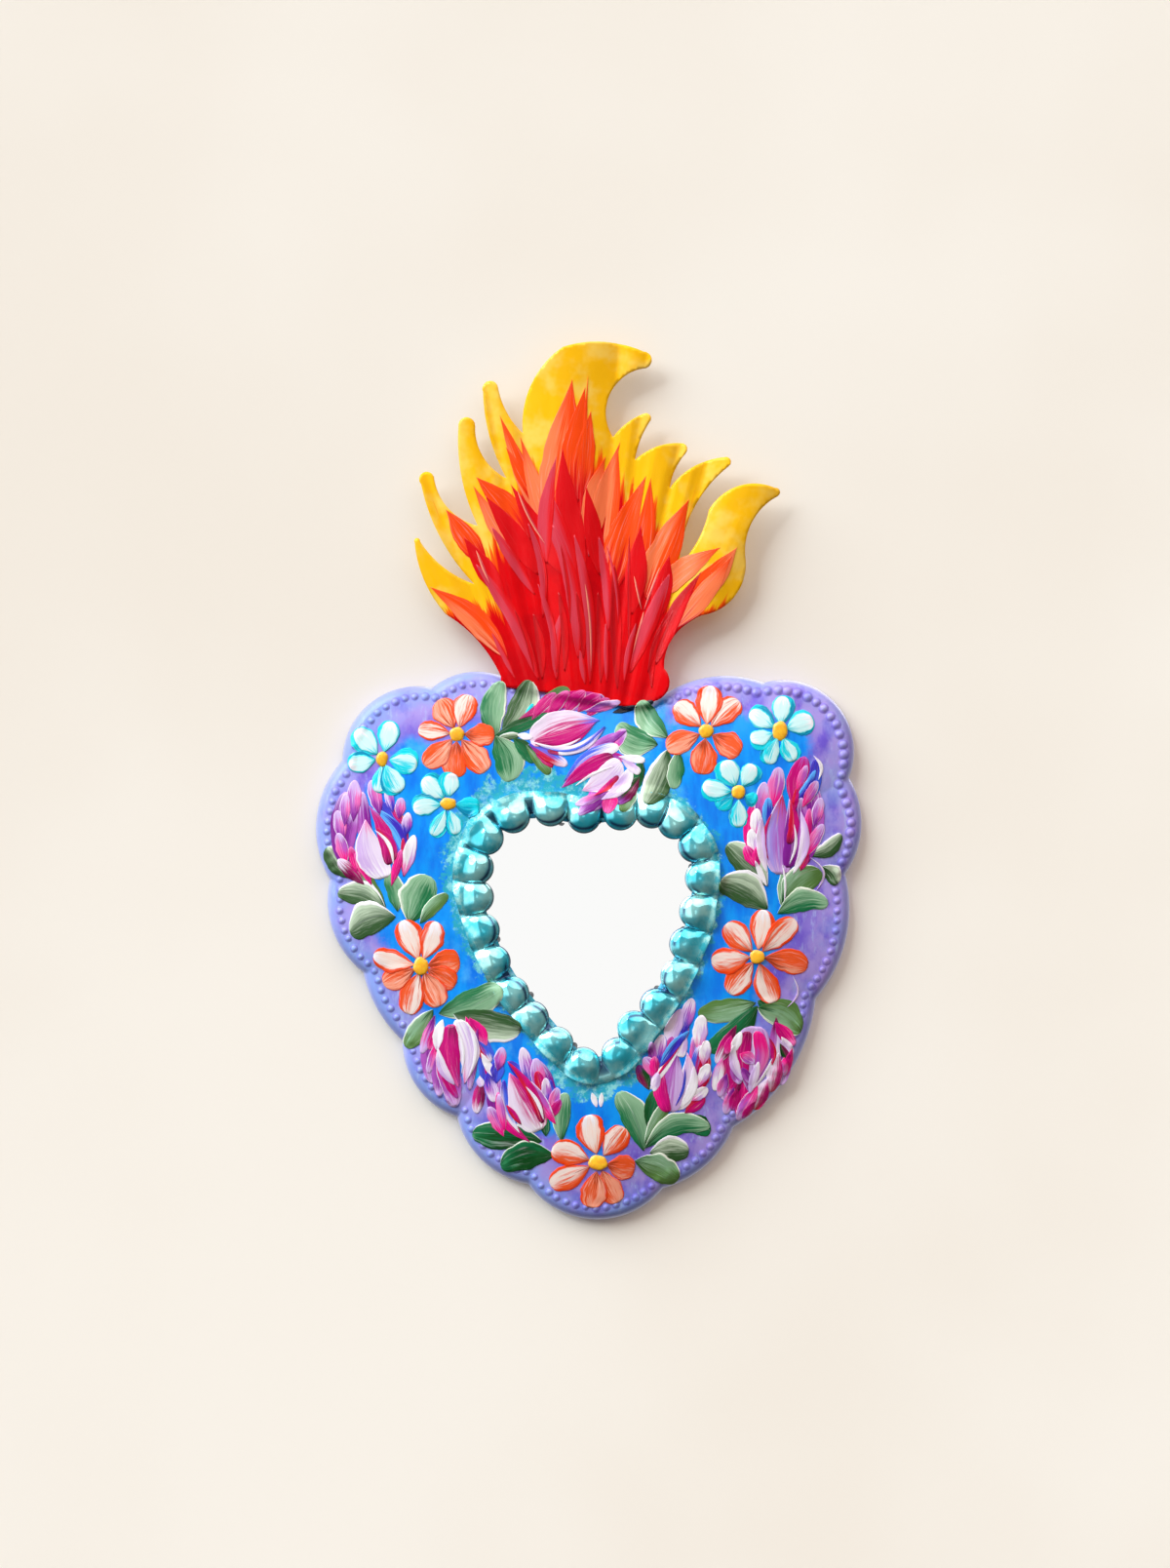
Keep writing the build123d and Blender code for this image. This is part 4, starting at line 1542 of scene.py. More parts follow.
    def make(self, material: bpy.types.Material) -> bpy.types.Object:
        """Make the flame.

        Args:
            material: the flame's paint.
        Returns:
            The flame.
        """
        outline = self.outline()
        low, high = outline.min(0), outline.max(0)
        grid_x, grid_up = np.meshgrid(np.arange(low[0], high[0], self.pitch),
                                      np.arange(low[1], high[1], self.pitch * 0.87))
        grid_x[1::2] += self.pitch / 2.0
        field_points = np.stack((grid_x.ravel(), grid_up.ravel()), axis=1)
        field_points = field_points[inside(field_points, outline)]
        field_points = field_points[away(field_points, outline) > self.pitch * 0.55]
        flat = np.concatenate((outline, field_points))
        border = len(outline)
        edges = [(i, (i + 1) % border) for i in range(border)]
        cut = delaunay_2d_cdt([Vector(p) for p in flat], edges, [], 1, 1e-6)
        flat = np.array([tuple(v) for v in cut[0]])
        triangles = [list(face) for face in cut[2]]
        uses: dict = {}
        for face in triangles:
            for first, second in zip(face, face[1:] + face[:1]):
                key = (min(first, second), max(first, second))
                uses.setdefault(key, []).append((first, second))
        rim = [pairs[0] for pairs in uses.values() if len(pairs) == 1]
        front = self.heights(flat)
        count = len(flat)
        points = np.concatenate((np.column_stack((flat, front)),
                                 np.column_stack((flat, front - self.sheet))))
        faces = triangles + [[corner + count for corner in reversed(face)] for face in triangles]
        faces += [[first, first + count, second + count, second] for first, second in rim]
        turn, share, _ = self.fan(flat)
        fan = np.stack((turn, share, np.zeros(count)), axis=1)
        depth = self.depth(flat, outline)
        body = Body()
        body.take(points, faces, {"fan": np.concatenate((fan, fan)),
                                  "depth": np.concatenate((depth, depth))})
        return body.make("flame_painted", material)


# ---------------------------------------------------------------- brush strokes


class Profile(Enum):
    """How a stroke's width runs: where it is widest, and how blunt its foot and its tip are."""

    PETAL = (1.35, 0.66, 0.36)
    BUD = (1.15, 0.80, 0.46)
    ROUND = (1.10, 0.72, 0.38)
    BULB = (0.72, 0.42, 0.90)
    STRIP = (1.0, 0.70, 0.70)
    FEATHER = (0.85, 0.95, 1.15)


class Hue:
    """Paints on the palette."""

    ORANGE = srgb(240, 66, 10)
    SALMON = srgb(248, 158, 128)
    TERRACOTTA = srgb(237, 86, 34)
    BLUSH = srgb(244, 222, 212)
    RUST = srgb(168, 56, 24)
    AQUA = srgb(0, 206, 222)
    FOAM = srgb(204, 240, 240)
    LAGOON = srgb(0, 140, 180)
    MAGENTA = srgb(196, 2, 116)
    HOT = srgb(236, 14, 132)
    ROSE = srgb(230, 104, 176)
    ORCHID = srgb(176, 84, 184)
    PLUM = srgb(128, 26, 142)
    WINE = srgb(120, 2, 70)
    LILAC = srgb(206, 172, 226)
    LAVENDER = srgb(160, 138, 220)
    # near black, for the painted shadow in the gap under the flame's foot
    PAINTED_SHADOW = srgb(10, 14, 34)
    PALE = srgb(232, 214, 236)
    WHITE = srgb(242, 236, 242)
    INDIGO = srgb(58, 40, 178)
    BLUE = srgb(64, 96, 226)
    SKY = srgb(84, 170, 246)
    CRIMSON = srgb(200, 4, 52)
    GREEN = srgb(22, 112, 66)
    PINE = srgb(10, 70, 24)
    OLIVE = srgb(84, 122, 58)
    MOSS = srgb(48, 84, 42)
    SAGE = srgb(142, 184, 146)
    MISTY = srgb(198, 215, 188)
    CREAM = srgb(232, 236, 220)
    FIRE = srgb(255, 74, 4)
    PEACH = srgb(255, 124, 74)
    SCARLET = srgb(224, 0, 12)
    CERISE = srgb(214, 56, 74)
    BLOOD = srgb(188, 0, 14)


@dataclass(frozen=True)
class Load:
    """Paints on a brush. Left and right are as seen looking from the foot to the tip."""

    left: tuple
    right: tuple
    tip: tuple
    foot: tuple
    rim: tuple = Hue.WHITE
    edge: float = 0.0
    soft: float = 0.35
    streaky: float = 1.1
    tip_at: float = 0.8
    foot_at: float = 0.1
    rim_side: float = 0.0
    rim_width: float = 0.16


class Mix(Enum):
    """The ways in which the brush is loaded."""

    # buds and loose petals
    PALE_BUD = Load(Hue.ORCHID, Hue.ROSE, Hue.LILAC, Hue.PLUM, Hue.PALE, tip_at=0.72, foot_at=0.34,
                    streaky=1.2, rim_side=1.0)
    PINK_BUD = Load(Hue.ROSE, Hue.ORCHID, Hue.LILAC, Hue.HOT, Hue.PALE, foot_at=0.34, streaky=1.2,
                    rim_side=-1.0)
    VIOLET_BUD = Load(Hue.LILAC, Hue.ORCHID, Hue.PALE, Hue.INDIGO, Hue.BLUE, tip_at=0.72, foot_at=0.38,
                      streaky=1.2, rim_side=-1.0)
    WHITE_BUD = Load(Hue.WHITE, Hue.LILAC, Hue.WHITE, Hue.ROSE, Hue.ORCHID, tip_at=0.6, foot_at=0.28,
                     rim_side=-1.0)
    BLUE_BUD = Load(Hue.BLUE, Hue.CRIMSON, Hue.PALE, Hue.INDIGO, foot_at=0.15)
    DEEP = Load(Hue.MAGENTA, Hue.MAGENTA, Hue.ORCHID, Hue.WINE, tip_at=0.9, foot_at=0.12)
    HOT = Load(Hue.HOT, Hue.MAGENTA, Hue.ROSE, Hue.MAGENTA, tip_at=0.86, foot_at=0.14)
    PLUM = Load(Hue.PLUM, Hue.ORCHID, Hue.LILAC, Hue.PLUM, tip_at=0.84, foot_at=0.2, edge=-0.2)
    WINE = Load(Hue.WINE, Hue.MAGENTA, Hue.PALE, Hue.WINE, tip_at=0.78, foot_at=0.3)
    CRIMSON = Load(Hue.CRIMSON, Hue.MAGENTA, Hue.CRIMSON, Hue.WINE, tip_at=0.9)
    INDIGO = Load(Hue.INDIGO, Hue.BLUE, Hue.INDIGO, Hue.INDIGO)
    SKY_EDGE = Load(Hue.SKY, Hue.INDIGO, Hue.SKY, Hue.INDIGO, edge=0.2)
    BLUE_WHITE = Load(Hue.BLUE, Hue.PALE, Hue.INDIGO, Hue.WHITE, foot_at=0.18)
    WHITE_BLUE = Load(Hue.PALE, Hue.BLUE, Hue.INDIGO, Hue.WHITE, foot_at=0.18)
    LILAC = Load(Hue.PALE, Hue.LILAC, Hue.LILAC, Hue.WHITE, tip_at=0.84, foot_at=0.16)
    LINE = Load(Hue.WHITE, Hue.WHITE, Hue.PALE, Hue.WHITE)
    GREY = Load(Hue.LILAC, Hue.ORCHID, Hue.PALE, Hue.WINE, tip_at=0.7, foot_at=0.3)
    NIGHT = Load(Hue.WINE, Hue.PINE, Hue.PLUM, Hue.PINE)
    STRIPED = Load(Hue.MAGENTA, Hue.MAGENTA, Hue.ROSE, Hue.WINE, Hue.PALE, rim_side=-1.0, tip_at=0.88)
    ORCHID = Load(Hue.ORCHID, Hue.PLUM, Hue.LILAC, Hue.MAGENTA, soft=0.6, streaky=1.2)
    # bodies of the tulips
    LEFT_PALE = Load(Hue.PALE, Hue.MAGENTA, Hue.ROSE, Hue.WHITE, edge=0.1, soft=0.5, tip_at=0.92)
    RIGHT_PALE = Load(Hue.MAGENTA, Hue.PALE, Hue.CRIMSON, Hue.PALE, edge=-0.1, soft=0.5, tip_at=0.9)
    BLUE_TOP = Load(Hue.PALE, Hue.MAGENTA, Hue.BLUE, Hue.PALE, soft=0.4, tip_at=0.86, foot_at=0.08)
    PURPLE = Load(Hue.ORCHID, Hue.LILAC, Hue.PLUM, Hue.LILAC, soft=0.6, tip_at=0.85, streaky=1.2)
    LAVENDER = Load(Hue.LILAC, Hue.PALE, Hue.ROSE, Hue.WHITE, edge=0.1, soft=0.6, tip_at=0.9, streaky=1.3,
                    rim_side=1.0)
    VIOLET = Load(Hue.LAVENDER, Hue.ORCHID, Hue.CRIMSON, Hue.LILAC, Hue.PALE, edge=0.1, soft=0.6,
                  tip_at=0.86, streaky=1.3, rim_side=1.0)
    # painted shadow: black in the gap under the flame's foot
    PAINTED_SHADOW = Load(Hue.PAINTED_SHADOW, Hue.PAINTED_SHADOW, Hue.PAINTED_SHADOW, Hue.PAINTED_SHADOW)
    # daisies
    SNOW = Load(Hue.BLUSH, Hue.BLUSH, Hue.WHITE, Hue.SALMON, Hue.ORANGE, rim_side=2.0, foot_at=0.14,
                rim_width=0.44, streaky=1.7)
    SNOW_LEFT = Load(Hue.BLUSH, Hue.TERRACOTTA, Hue.BLUSH, Hue.RUST, Hue.ORANGE, edge=-0.08, soft=0.4,
                     rim_side=2.0, tip_at=0.92, rim_width=0.3, streaky=1.3)
    SNOW_RIGHT = Load(Hue.TERRACOTTA, Hue.BLUSH, Hue.BLUSH, Hue.RUST, Hue.ORANGE, edge=0.08, soft=0.4,
                      rim_side=2.0, tip_at=0.92, rim_width=0.3, streaky=1.3)
    CORAL = Load(Hue.SALMON, Hue.TERRACOTTA, Hue.SALMON, Hue.RUST, Hue.ORANGE, edge=-0.1, soft=0.5,
                 streaky=1.6, tip_at=0.9, foot_at=0.16, rim_side=2.0, rim_width=0.2)
    EMBER = Load(Hue.TERRACOTTA, Hue.SALMON, Hue.TERRACOTTA, Hue.RUST, Hue.ORANGE, edge=-0.5, soft=0.4,
                 streaky=1.4, foot_at=0.26, rim_side=2.0, rim_width=0.22)
    ICE = Load(Hue.FOAM, Hue.FOAM, Hue.WHITE, Hue.AQUA, Hue.AQUA, rim_side=2.0, foot_at=0.16,
               rim_width=0.2)
    ICE_LEFT = Load(Hue.FOAM, Hue.AQUA, Hue.FOAM, Hue.AQUA, Hue.AQUA, edge=-0.1, soft=0.5, rim_side=2.0,
                    foot_at=0.12, rim_width=0.2, streaky=1.3)
    POND = Load(Hue.AQUA, Hue.LAGOON, Hue.AQUA, Hue.LAGOON, edge=-0.3, soft=0.5)
    # leaves
    SAGE_LEFT = Load(Hue.SAGE, Hue.GREEN, Hue.SAGE, Hue.PINE, Hue.CREAM, soft=0.9, rim_side=1.0,
                     rim_width=0.18)
    SAGE_RIGHT = Load(Hue.GREEN, Hue.SAGE, Hue.SAGE, Hue.PINE, Hue.CREAM, soft=0.9, rim_side=-1.0,
                      rim_width=0.18)
    CREAM_LEFT = Load(Hue.MISTY, Hue.MOSS, Hue.OLIVE, Hue.PINE, edge=0.2, soft=0.8, rim_side=1.0,
                      tip_at=1.1, rim_width=0.26)
    CREAM_RIGHT = Load(Hue.MOSS, Hue.MISTY, Hue.OLIVE, Hue.PINE, edge=-0.2, soft=0.8, rim_side=-1.0,
                       tip_at=1.1, rim_width=0.26)
    OLIVE_LEFT = Load(Hue.SAGE, Hue.OLIVE, Hue.OLIVE, Hue.PINE, Hue.CREAM, soft=0.9, rim_side=1.0,
                      foot_at=0.14)
    OLIVE_RIGHT = Load(Hue.OLIVE, Hue.SAGE, Hue.OLIVE, Hue.PINE, Hue.CREAM, soft=0.9, rim_side=-1.0,
                       foot_at=0.14)
    DARK = Load(Hue.PINE, Hue.GREEN, Hue.GREEN, Hue.PINE, soft=0.8, streaky=1.2)
    PINE_RIGHT = Load(Hue.PINE, Hue.GREEN, Hue.GREEN, Hue.PINE, Hue.CREAM, edge=-0.4, soft=0.5,
                      rim_side=-1.0, streaky=1.4)
    # feathers of the flame
    FIRE = Load(Hue.FIRE, Hue.FIRE, Hue.FIRE, Hue.SCARLET, soft=0.5, foot_at=0.3, tip_at=0.9)
    AMBER_LEFT = Load(Hue.PEACH, Hue.FIRE, Hue.FIRE, Hue.SCARLET, edge=0.1, soft=0.3, foot_at=0.14)
    AMBER_RIGHT = Load(Hue.FIRE, Hue.PEACH, Hue.PEACH, Hue.SCARLET, edge=-0.1, soft=0.3, foot_at=0.14)
    PEACH = Load(Hue.PEACH, Hue.PEACH, Hue.FIRE, Hue.CERISE, soft=0.5, foot_at=0.12)
    SCARLET = Load(Hue.SCARLET, Hue.SCARLET, Hue.SCARLET, Hue.BLOOD, streaky=0.5, foot_at=0.0)
    # rose streaks that stand for the gloss on the pleats' ridges: painted highlight
    CERISE = Load(Hue.CERISE, Hue.SCARLET, Hue.CERISE, Hue.SCARLET, edge=-0.3, soft=0.5, streaky=0.6)
    # dark red in the folds between the pleats: painted shade
    BLOOD = Load(Hue.BLOOD, Hue.SCARLET, Hue.BLOOD, Hue.BLOOD, soft=0.6, streaky=0.5)
    # thin salmon lines: painted highlight
    GLINT = Load(Hue.SALMON, Hue.CERISE, Hue.SALMON, Hue.CERISE)


@dataclass(frozen=True)
class Stroke:
    """One stroke of thick paint: its places are steps of the layout grid."""

    foot: Point
    tip: Point
    width: float
    mix: Mix
    bend: float = 0.0  # how far it bulges to its left, in shares of its length
    profile: Profile = Profile.BUD
    thick: float = 0.24


@dataclass
class Relief:
    """Height map of the painted front, which rises as paint is laid on."""

    heights: np.ndarray
    home: np.ndarray
    cell: float

    @classmethod
    def over(cls, drape: Drape, low: Point, high: Point, cell: float) -> "Relief":
        """Measure the bare front.

        Args:
            drape: finds the height of the tin.
            low: lowest x and up.
            high: highest x and up.
            cell: width of a cell, in millimetres.
        Returns:
            The height map.
        """
        columns = np.arange(low[0], high[0], cell)
        rows = np.arange(low[1], high[1], cell)
        x, up = np.meshgrid(columns, rows)
        heights = drape.heights(np.column_stack((x.ravel(), up.ravel()))).reshape(x.shape)
        for _ in range(2):
            padded = np.pad(heights, 1, mode="edge")
            heights = np.max([padded[1:-1, 1:-1], padded[:-2, 1:-1], padded[2:, 1:-1],
                              padded[1:-1, :-2], padded[1:-1, 2:]], axis=0)
        return cls(heights, np.array(low), cell)

    def sample(self, flat: np.ndarray) -> np.ndarray:
        """Height at some places.

        Args:
            flat: rows of x and up.
        Returns:
            One h for each row.
        """
        spot = (flat - self.home) / self.cell
        rows, columns = self.heights.shape
        column = np.clip(spot[:, 0], 0, columns - 1.001)
        row = np.clip(spot[:, 1], 0, rows - 1.001)
        c, r = column.astype(int), row.astype(int)
        a, b = column - c, row - r
        h = self.heights
        low = h[r, c] * (1 - a) + h[r, c + 1] * a
        high = h[r + 1, c] * (1 - a) + h[r + 1, c + 1] * a
        return low * (1 - b) + high * b

    def raise_to(self, points: np.ndarray) -> None:
        """Lift the map to the top of new paint.

        Args:
            points: a grid of x, up, h.
        """
        for axis, times in ((0, 4), (1, 5)):
            steps = points.shape[axis] - 1
            spots = np.linspace(0.0, steps, steps * times + 1)
            low = np.minimum(spots.astype(int), steps - 1)
            part = (spots - low).reshape((-1, 1, 1) if axis == 0 else (1, -1, 1))
            points = np.take(points, low, axis) * (1.0 - part) + np.take(points, low + 1, axis) * part
        points = points.reshape(-1, 3)
        tops = points[:, 2]
        spot = np.rint((points[:, :2] - self.home) / self.cell).astype(int)
        rows, columns = self.heights.shape
        column = np.clip(spot[:, 0], 0, columns - 1)
        row = np.clip(spot[:, 1], 0, rows - 1)
        np.maximum.at(self.heights, (row, column), tops)


@dataclass
class Painter:
    """Lays strokes on the tin and on the paint already there."""

    relief: Relief
    rows: int = 26
    columns: int = 13
    skin: float = 0.03  # least height of a stroke over what is under it
    sink: float = 0.3  # how deep its underside lies below that
    ragged: float = 0.13  # unevenness of its sides, in shares of its width

    def lay(self, body: Body, stroke: Stroke) -> None:
        """Add one stroke.

        Args:
            body: where to add it.
            stroke: the stroke.
        """
        foot, tip = grid(*stroke.foot), grid(*stroke.tip)
        axis = tip - foot
        length = float(np.linalg.norm(axis))
        side = np.array((-axis[1], axis[0])) / length
        seed = (stroke.foot[0] * 0.37 + stroke.foot[1] * 0.71 + stroke.width * 1.9) % 50.0
        rows = max(self.rows, int(length / 1.1))
        along = np.linspace(0.0, 1.0, rows)
        across = np.sin(np.linspace(-1.0, 1.0, self.columns) * math.pi / 2.0)
        power, foot_blunt, tip_blunt = stroke.profile.value
        blunt = foot_blunt + (tip_blunt - foot_blunt) * ease(0.25, 0.75, along)
        half = np.sin(math.pi * np.clip(along, 0.003, 0.997) ** power) ** blunt
        half = half * stroke.width * GRID_STEP / 2.0
        middle = foot + axis * along[:, None]
        middle = middle + side * (stroke.bend * length * np.sin(math.pi * along))[:, None]
        ragged = [1.0 + self.ragged * np.array([noise.noise(Vector((u * 5.0, seed, z)))
                                         + 0.4 * noise.noise(Vector((u * 13.0, seed, z))) for u in along])
                  for z in (4.0, 9.0)]
        spread = np.where(across[None] < 0.0, ragged[0][:, None], ragged[1][:, None])
        offset = across[None] * half[:, None] * spread
        flat = (middle[:, None] + side[None, None] * offset[..., None]).reshape(-1, 2)
        ground = self.relief.sample(flat).reshape(offset.shape)
        level = np.maximum(self.smooth(ground), ground)
        crown = np.sqrt(np.maximum(0.0, 1.0 - np.abs(across) ** 2.6))[None]
        ends = np.sqrt(np.minimum(1.0, np.sin(math.pi * along) * 3.0))[:, None]
        comb = 0.16 * np.sin(across * 8.0 + seed) + 0.10 * np.sin(across * 15.0 + 2.0 * seed)
        top = level + self.skin + crown * ends * stroke.thick * (1.0 + comb[None])
        count = offset.size
        upper = np.column_stack((flat, top.ravel()))
        lower = np.column_stack((flat, (ground - self.sink).ravel()))
        place = np.stack((np.broadcast_to(along[:, None], offset.shape).ravel(),
                          np.broadcast_to(across[None], offset.shape).ravel(),
                          np.full(count, seed)), axis=1)
        load = stroke.mix.value
        facts = {"stroke": place, "left": load.left, "right": load.right, "tip": load.tip,
                 "foot": load.foot, "rim": load.rim, "across": (load.edge, load.soft, load.streaky),
                 "along": (load.tip_at, load.foot_at, load.rim_side)}
        facts = {name: np.tile(fact, (count, 1)) if isinstance(fact, tuple) else fact
                 for name, fact in facts.items()}
        facts["rim_width"] = np.full(count, load.rim_width)
        facts = {name: np.concatenate((fact, fact)) for name, fact in facts.items()}
        body.take(np.concatenate((upper, lower)), patch_faces(rows, self.columns), facts)
        self.relief.raise_to(upper.reshape(rows, self.columns, 3))

    @staticmethod
    def smooth(ground: np.ndarray) -> np.ndarray:
        """Level of a stroke over uneven ground.

        Args:
            ground: height under each point.
        Returns:
            The eased height.
        """
        level = ground.copy()
        for _ in range(3):
            padded = np.pad(level, 1, mode="edge")
            level = (padded[:-2, 1:-1] + padded[2:, 1:-1] + padded[1:-1, :-2]
                     + padded[1:-1, 2:] + 2.0 * padded[1:-1, 1:-1]) / 6.0
        return level

    def gather(self, name: str, strokes: Iterable[Stroke], paint: bpy.types.Material) -> bpy.types.Object:
        """Lay strokes as one object.

        Args:
            name: name of the object.
            strokes: the strokes, lowest first.
            paint: the paint.
        Returns:
            The object.
        """
        body = Body()
        for stroke in strokes:
            self.lay(body, stroke)
        return body.make(name, paint)


# ---------------------------------------------------------------- flowers, leaves and feathers


@dataclass(frozen=True)
class Daisy:
    """A round flower: petals round a centre, each with its angle, reach, width and mix."""

    centre: Point
    petals: tuple
    eye: Point = (7.5, 7.5)
    start: float = 7.0

    def strokes(self) -> list[Stroke]:
        """Strokes of the petals, with a ragged aqua wash under the icy ones.

        Returns:
            The strokes.
        """
        made = []
        icy = (Mix.ICE, Mix.ICE_LEFT, Mix.POND)
        for number, (angle, reach, width, mix) in enumerate(self.petals):
            turn = math.radians(angle)
            way = np.array((math.cos(turn), -math.sin(turn)))
            over = np.array((-way[1], way[0])) * math.sin(number * 2.6 + self.centre[0])
            foot, tip = self.centre + way * self.start, self.centre + way * reach
            if mix in icy:
                made.append(Stroke(tuple(foot + over * 2.5), tuple(tip + over * 3.5 + way), width * 1.1,
                                   Mix.POND, 0.0, Profile.PETAL, 0.06))
            made.append(Stroke(tuple(foot), tuple(tip), width * (0.95 if mix in icy else 1.08), mix,
                               0.04 * math.sin(number * 1.7 + self.centre[0]), Profile.PETAL, 0.22))
        return made


def rows_of(profile: Profile, thick: float, rows: tuple, drawn: float = 0.0) -> list[Stroke]:
    """Strokes that share a profile and a thickness.

    Args:
        profile: how their width runs.
        thick: how thick the paint lies, in millimetres.
        rows: foot, tip, width, mix and, if it is bent, bend of each.
        drawn: how far their feet are drawn back, in shares of their length.
    Returns:
        The strokes.
    """
    return [Stroke((a + (a - c) * drawn, b + (b - d) * drawn), (c, d), width, mix, *bend,
                   profile=profile, thick=thick) for a, b, c, d, width, mix, *bend in rows]


# foot, tip, width, mix and, if it is bent, bend of each stroke, in steps of the layout grid
LEAVES: list = rows_of(Profile.ROUND, 0.18, (
    # painted shadow: black strokes in the gap under the flame's foot
    (628, 731, 653, 725, 6, Mix.PAINTED_SHADOW), (656, 724, 670, 720, 6, Mix.PAINTED_SHADOW),
    # top left fan
    (506, 750, 496, 731, 11, Mix.DARK), (509, 757, 514, 699, 25, Mix.SAGE_RIGHT, 0.10),
    (546, 745, 583, 706, 20, Mix.OLIVE_RIGHT, 0.05), (516, 752, 545, 699, 31, Mix.CREAM_RIGHT, -0.12),
    (538, 738, 547, 722, 5, Mix.POND), (508, 755, 562, 733, 14, Mix.DARK),
    (511, 757, 533, 754, 8, Mix.CREAM_LEFT), (509, 755, 525, 801, 32, Mix.SAGE_LEFT, 0.12),
    (527, 757, 548, 782, 15, Mix.DARK, 0.05), (540, 764, 564, 794, 15, Mix.OLIVE_LEFT, 0.05),
    # top right
    (684, 757, 655, 720, 25, Mix.SAGE_LEFT, 0.10), (674, 764, 631, 747, 31, Mix.SAGE_LEFT, 0.15),
    (657, 778, 652, 808, 13, Mix.DARK), (684, 769, 662, 824, 29, Mix.CREAM_RIGHT, 0.06),
    (695, 770, 690, 809, 17, Mix.SAGE_RIGHT), (650, 800, 637, 832, 15, Mix.OLIVE_LEFT, 0.05),
    # left
    (362, 900, 336, 869, 21, Mix.CREAM_RIGHT, 0.05), (398, 934, 368, 886, 13, Mix.OLIVE_LEFT),
    (397, 932, 348, 914, 26, Mix.CREAM_RIGHT, -0.14), (407, 939, 360, 955, 36, Mix.CREAM_RIGHT, -0.16),
    (409, 934, 399, 893, 19, Mix.SAGE_RIGHT, -0.08), (421, 945, 440, 897, 37, Mix.SAGE_LEFT, 0.05),
    (432, 946, 460, 916, 15, Mix.OLIVE_LEFT, 0.05),
    # right
    (786, 908, 745, 865, 29, Mix.CREAM_RIGHT, -0.05), (786, 931, 738, 902, 36, Mix.CREAM_RIGHT, -0.12),
    (800, 929, 806, 889, 14, Mix.SAGE_LEFT), (801, 928, 840, 892, 31, Mix.OLIVE_LEFT, 0.12),
    (829, 877, 862, 856, 17, Mix.CREAM_LEFT, -0.12), (842, 888, 858, 906, 18, Mix.CREAM_LEFT, 0.15),
    (796, 936, 848, 924, 25, Mix.SAGE_LEFT, 0.16),
    # lower left
    (445, 1034, 417, 1073, 21, Mix.OLIVE_RIGHT), (451, 1038, 516, 1012, 31, Mix.SAGE_RIGHT, -0.05),
    (466, 1038, 535, 1054, 33, Mix.CREAM_RIGHT, -0.06),
    # bottom left
    (556, 1168, 485, 1161, 30, Mix.PINE_RIGHT, -0.02), (569, 1182, 514, 1194, 30, Mix.PINE_RIGHT, -0.10),
    (576, 1168, 580, 1118, 18, Mix.SAGE_LEFT, 0.05), (560, 1163, 559, 1143, 10, Mix.DARK),
    # bottom right
    (660, 1178, 635, 1117, 29, Mix.SAGE_RIGHT, -0.08), (664, 1154, 670, 1116, 14, Mix.DARK),
    (661, 1170, 685, 1126, 15, Mix.OLIVE_LEFT), (697, 1150, 728, 1159, 21, Mix.DARK, 0.12),
    (661, 1175, 727, 1152, 24, Mix.SAGE_LEFT, 0.18), (666, 1180, 706, 1178, 28, Mix.CREAM_LEFT, 0.06),
    (651, 1188, 696, 1207, 29, Mix.OLIVE_LEFT, 0.06),
    # lower right
    (774, 1027, 715, 1038, 24, Mix.OLIVE_LEFT, 0.03), (776, 1030, 725, 1076, 26, Mix.DARK, 0.08),
    (776, 1025, 800, 1038, 18, Mix.DARK), (776, 1032, 821, 1056, 32, Mix.OLIVE_RIGHT, 0.12),
))

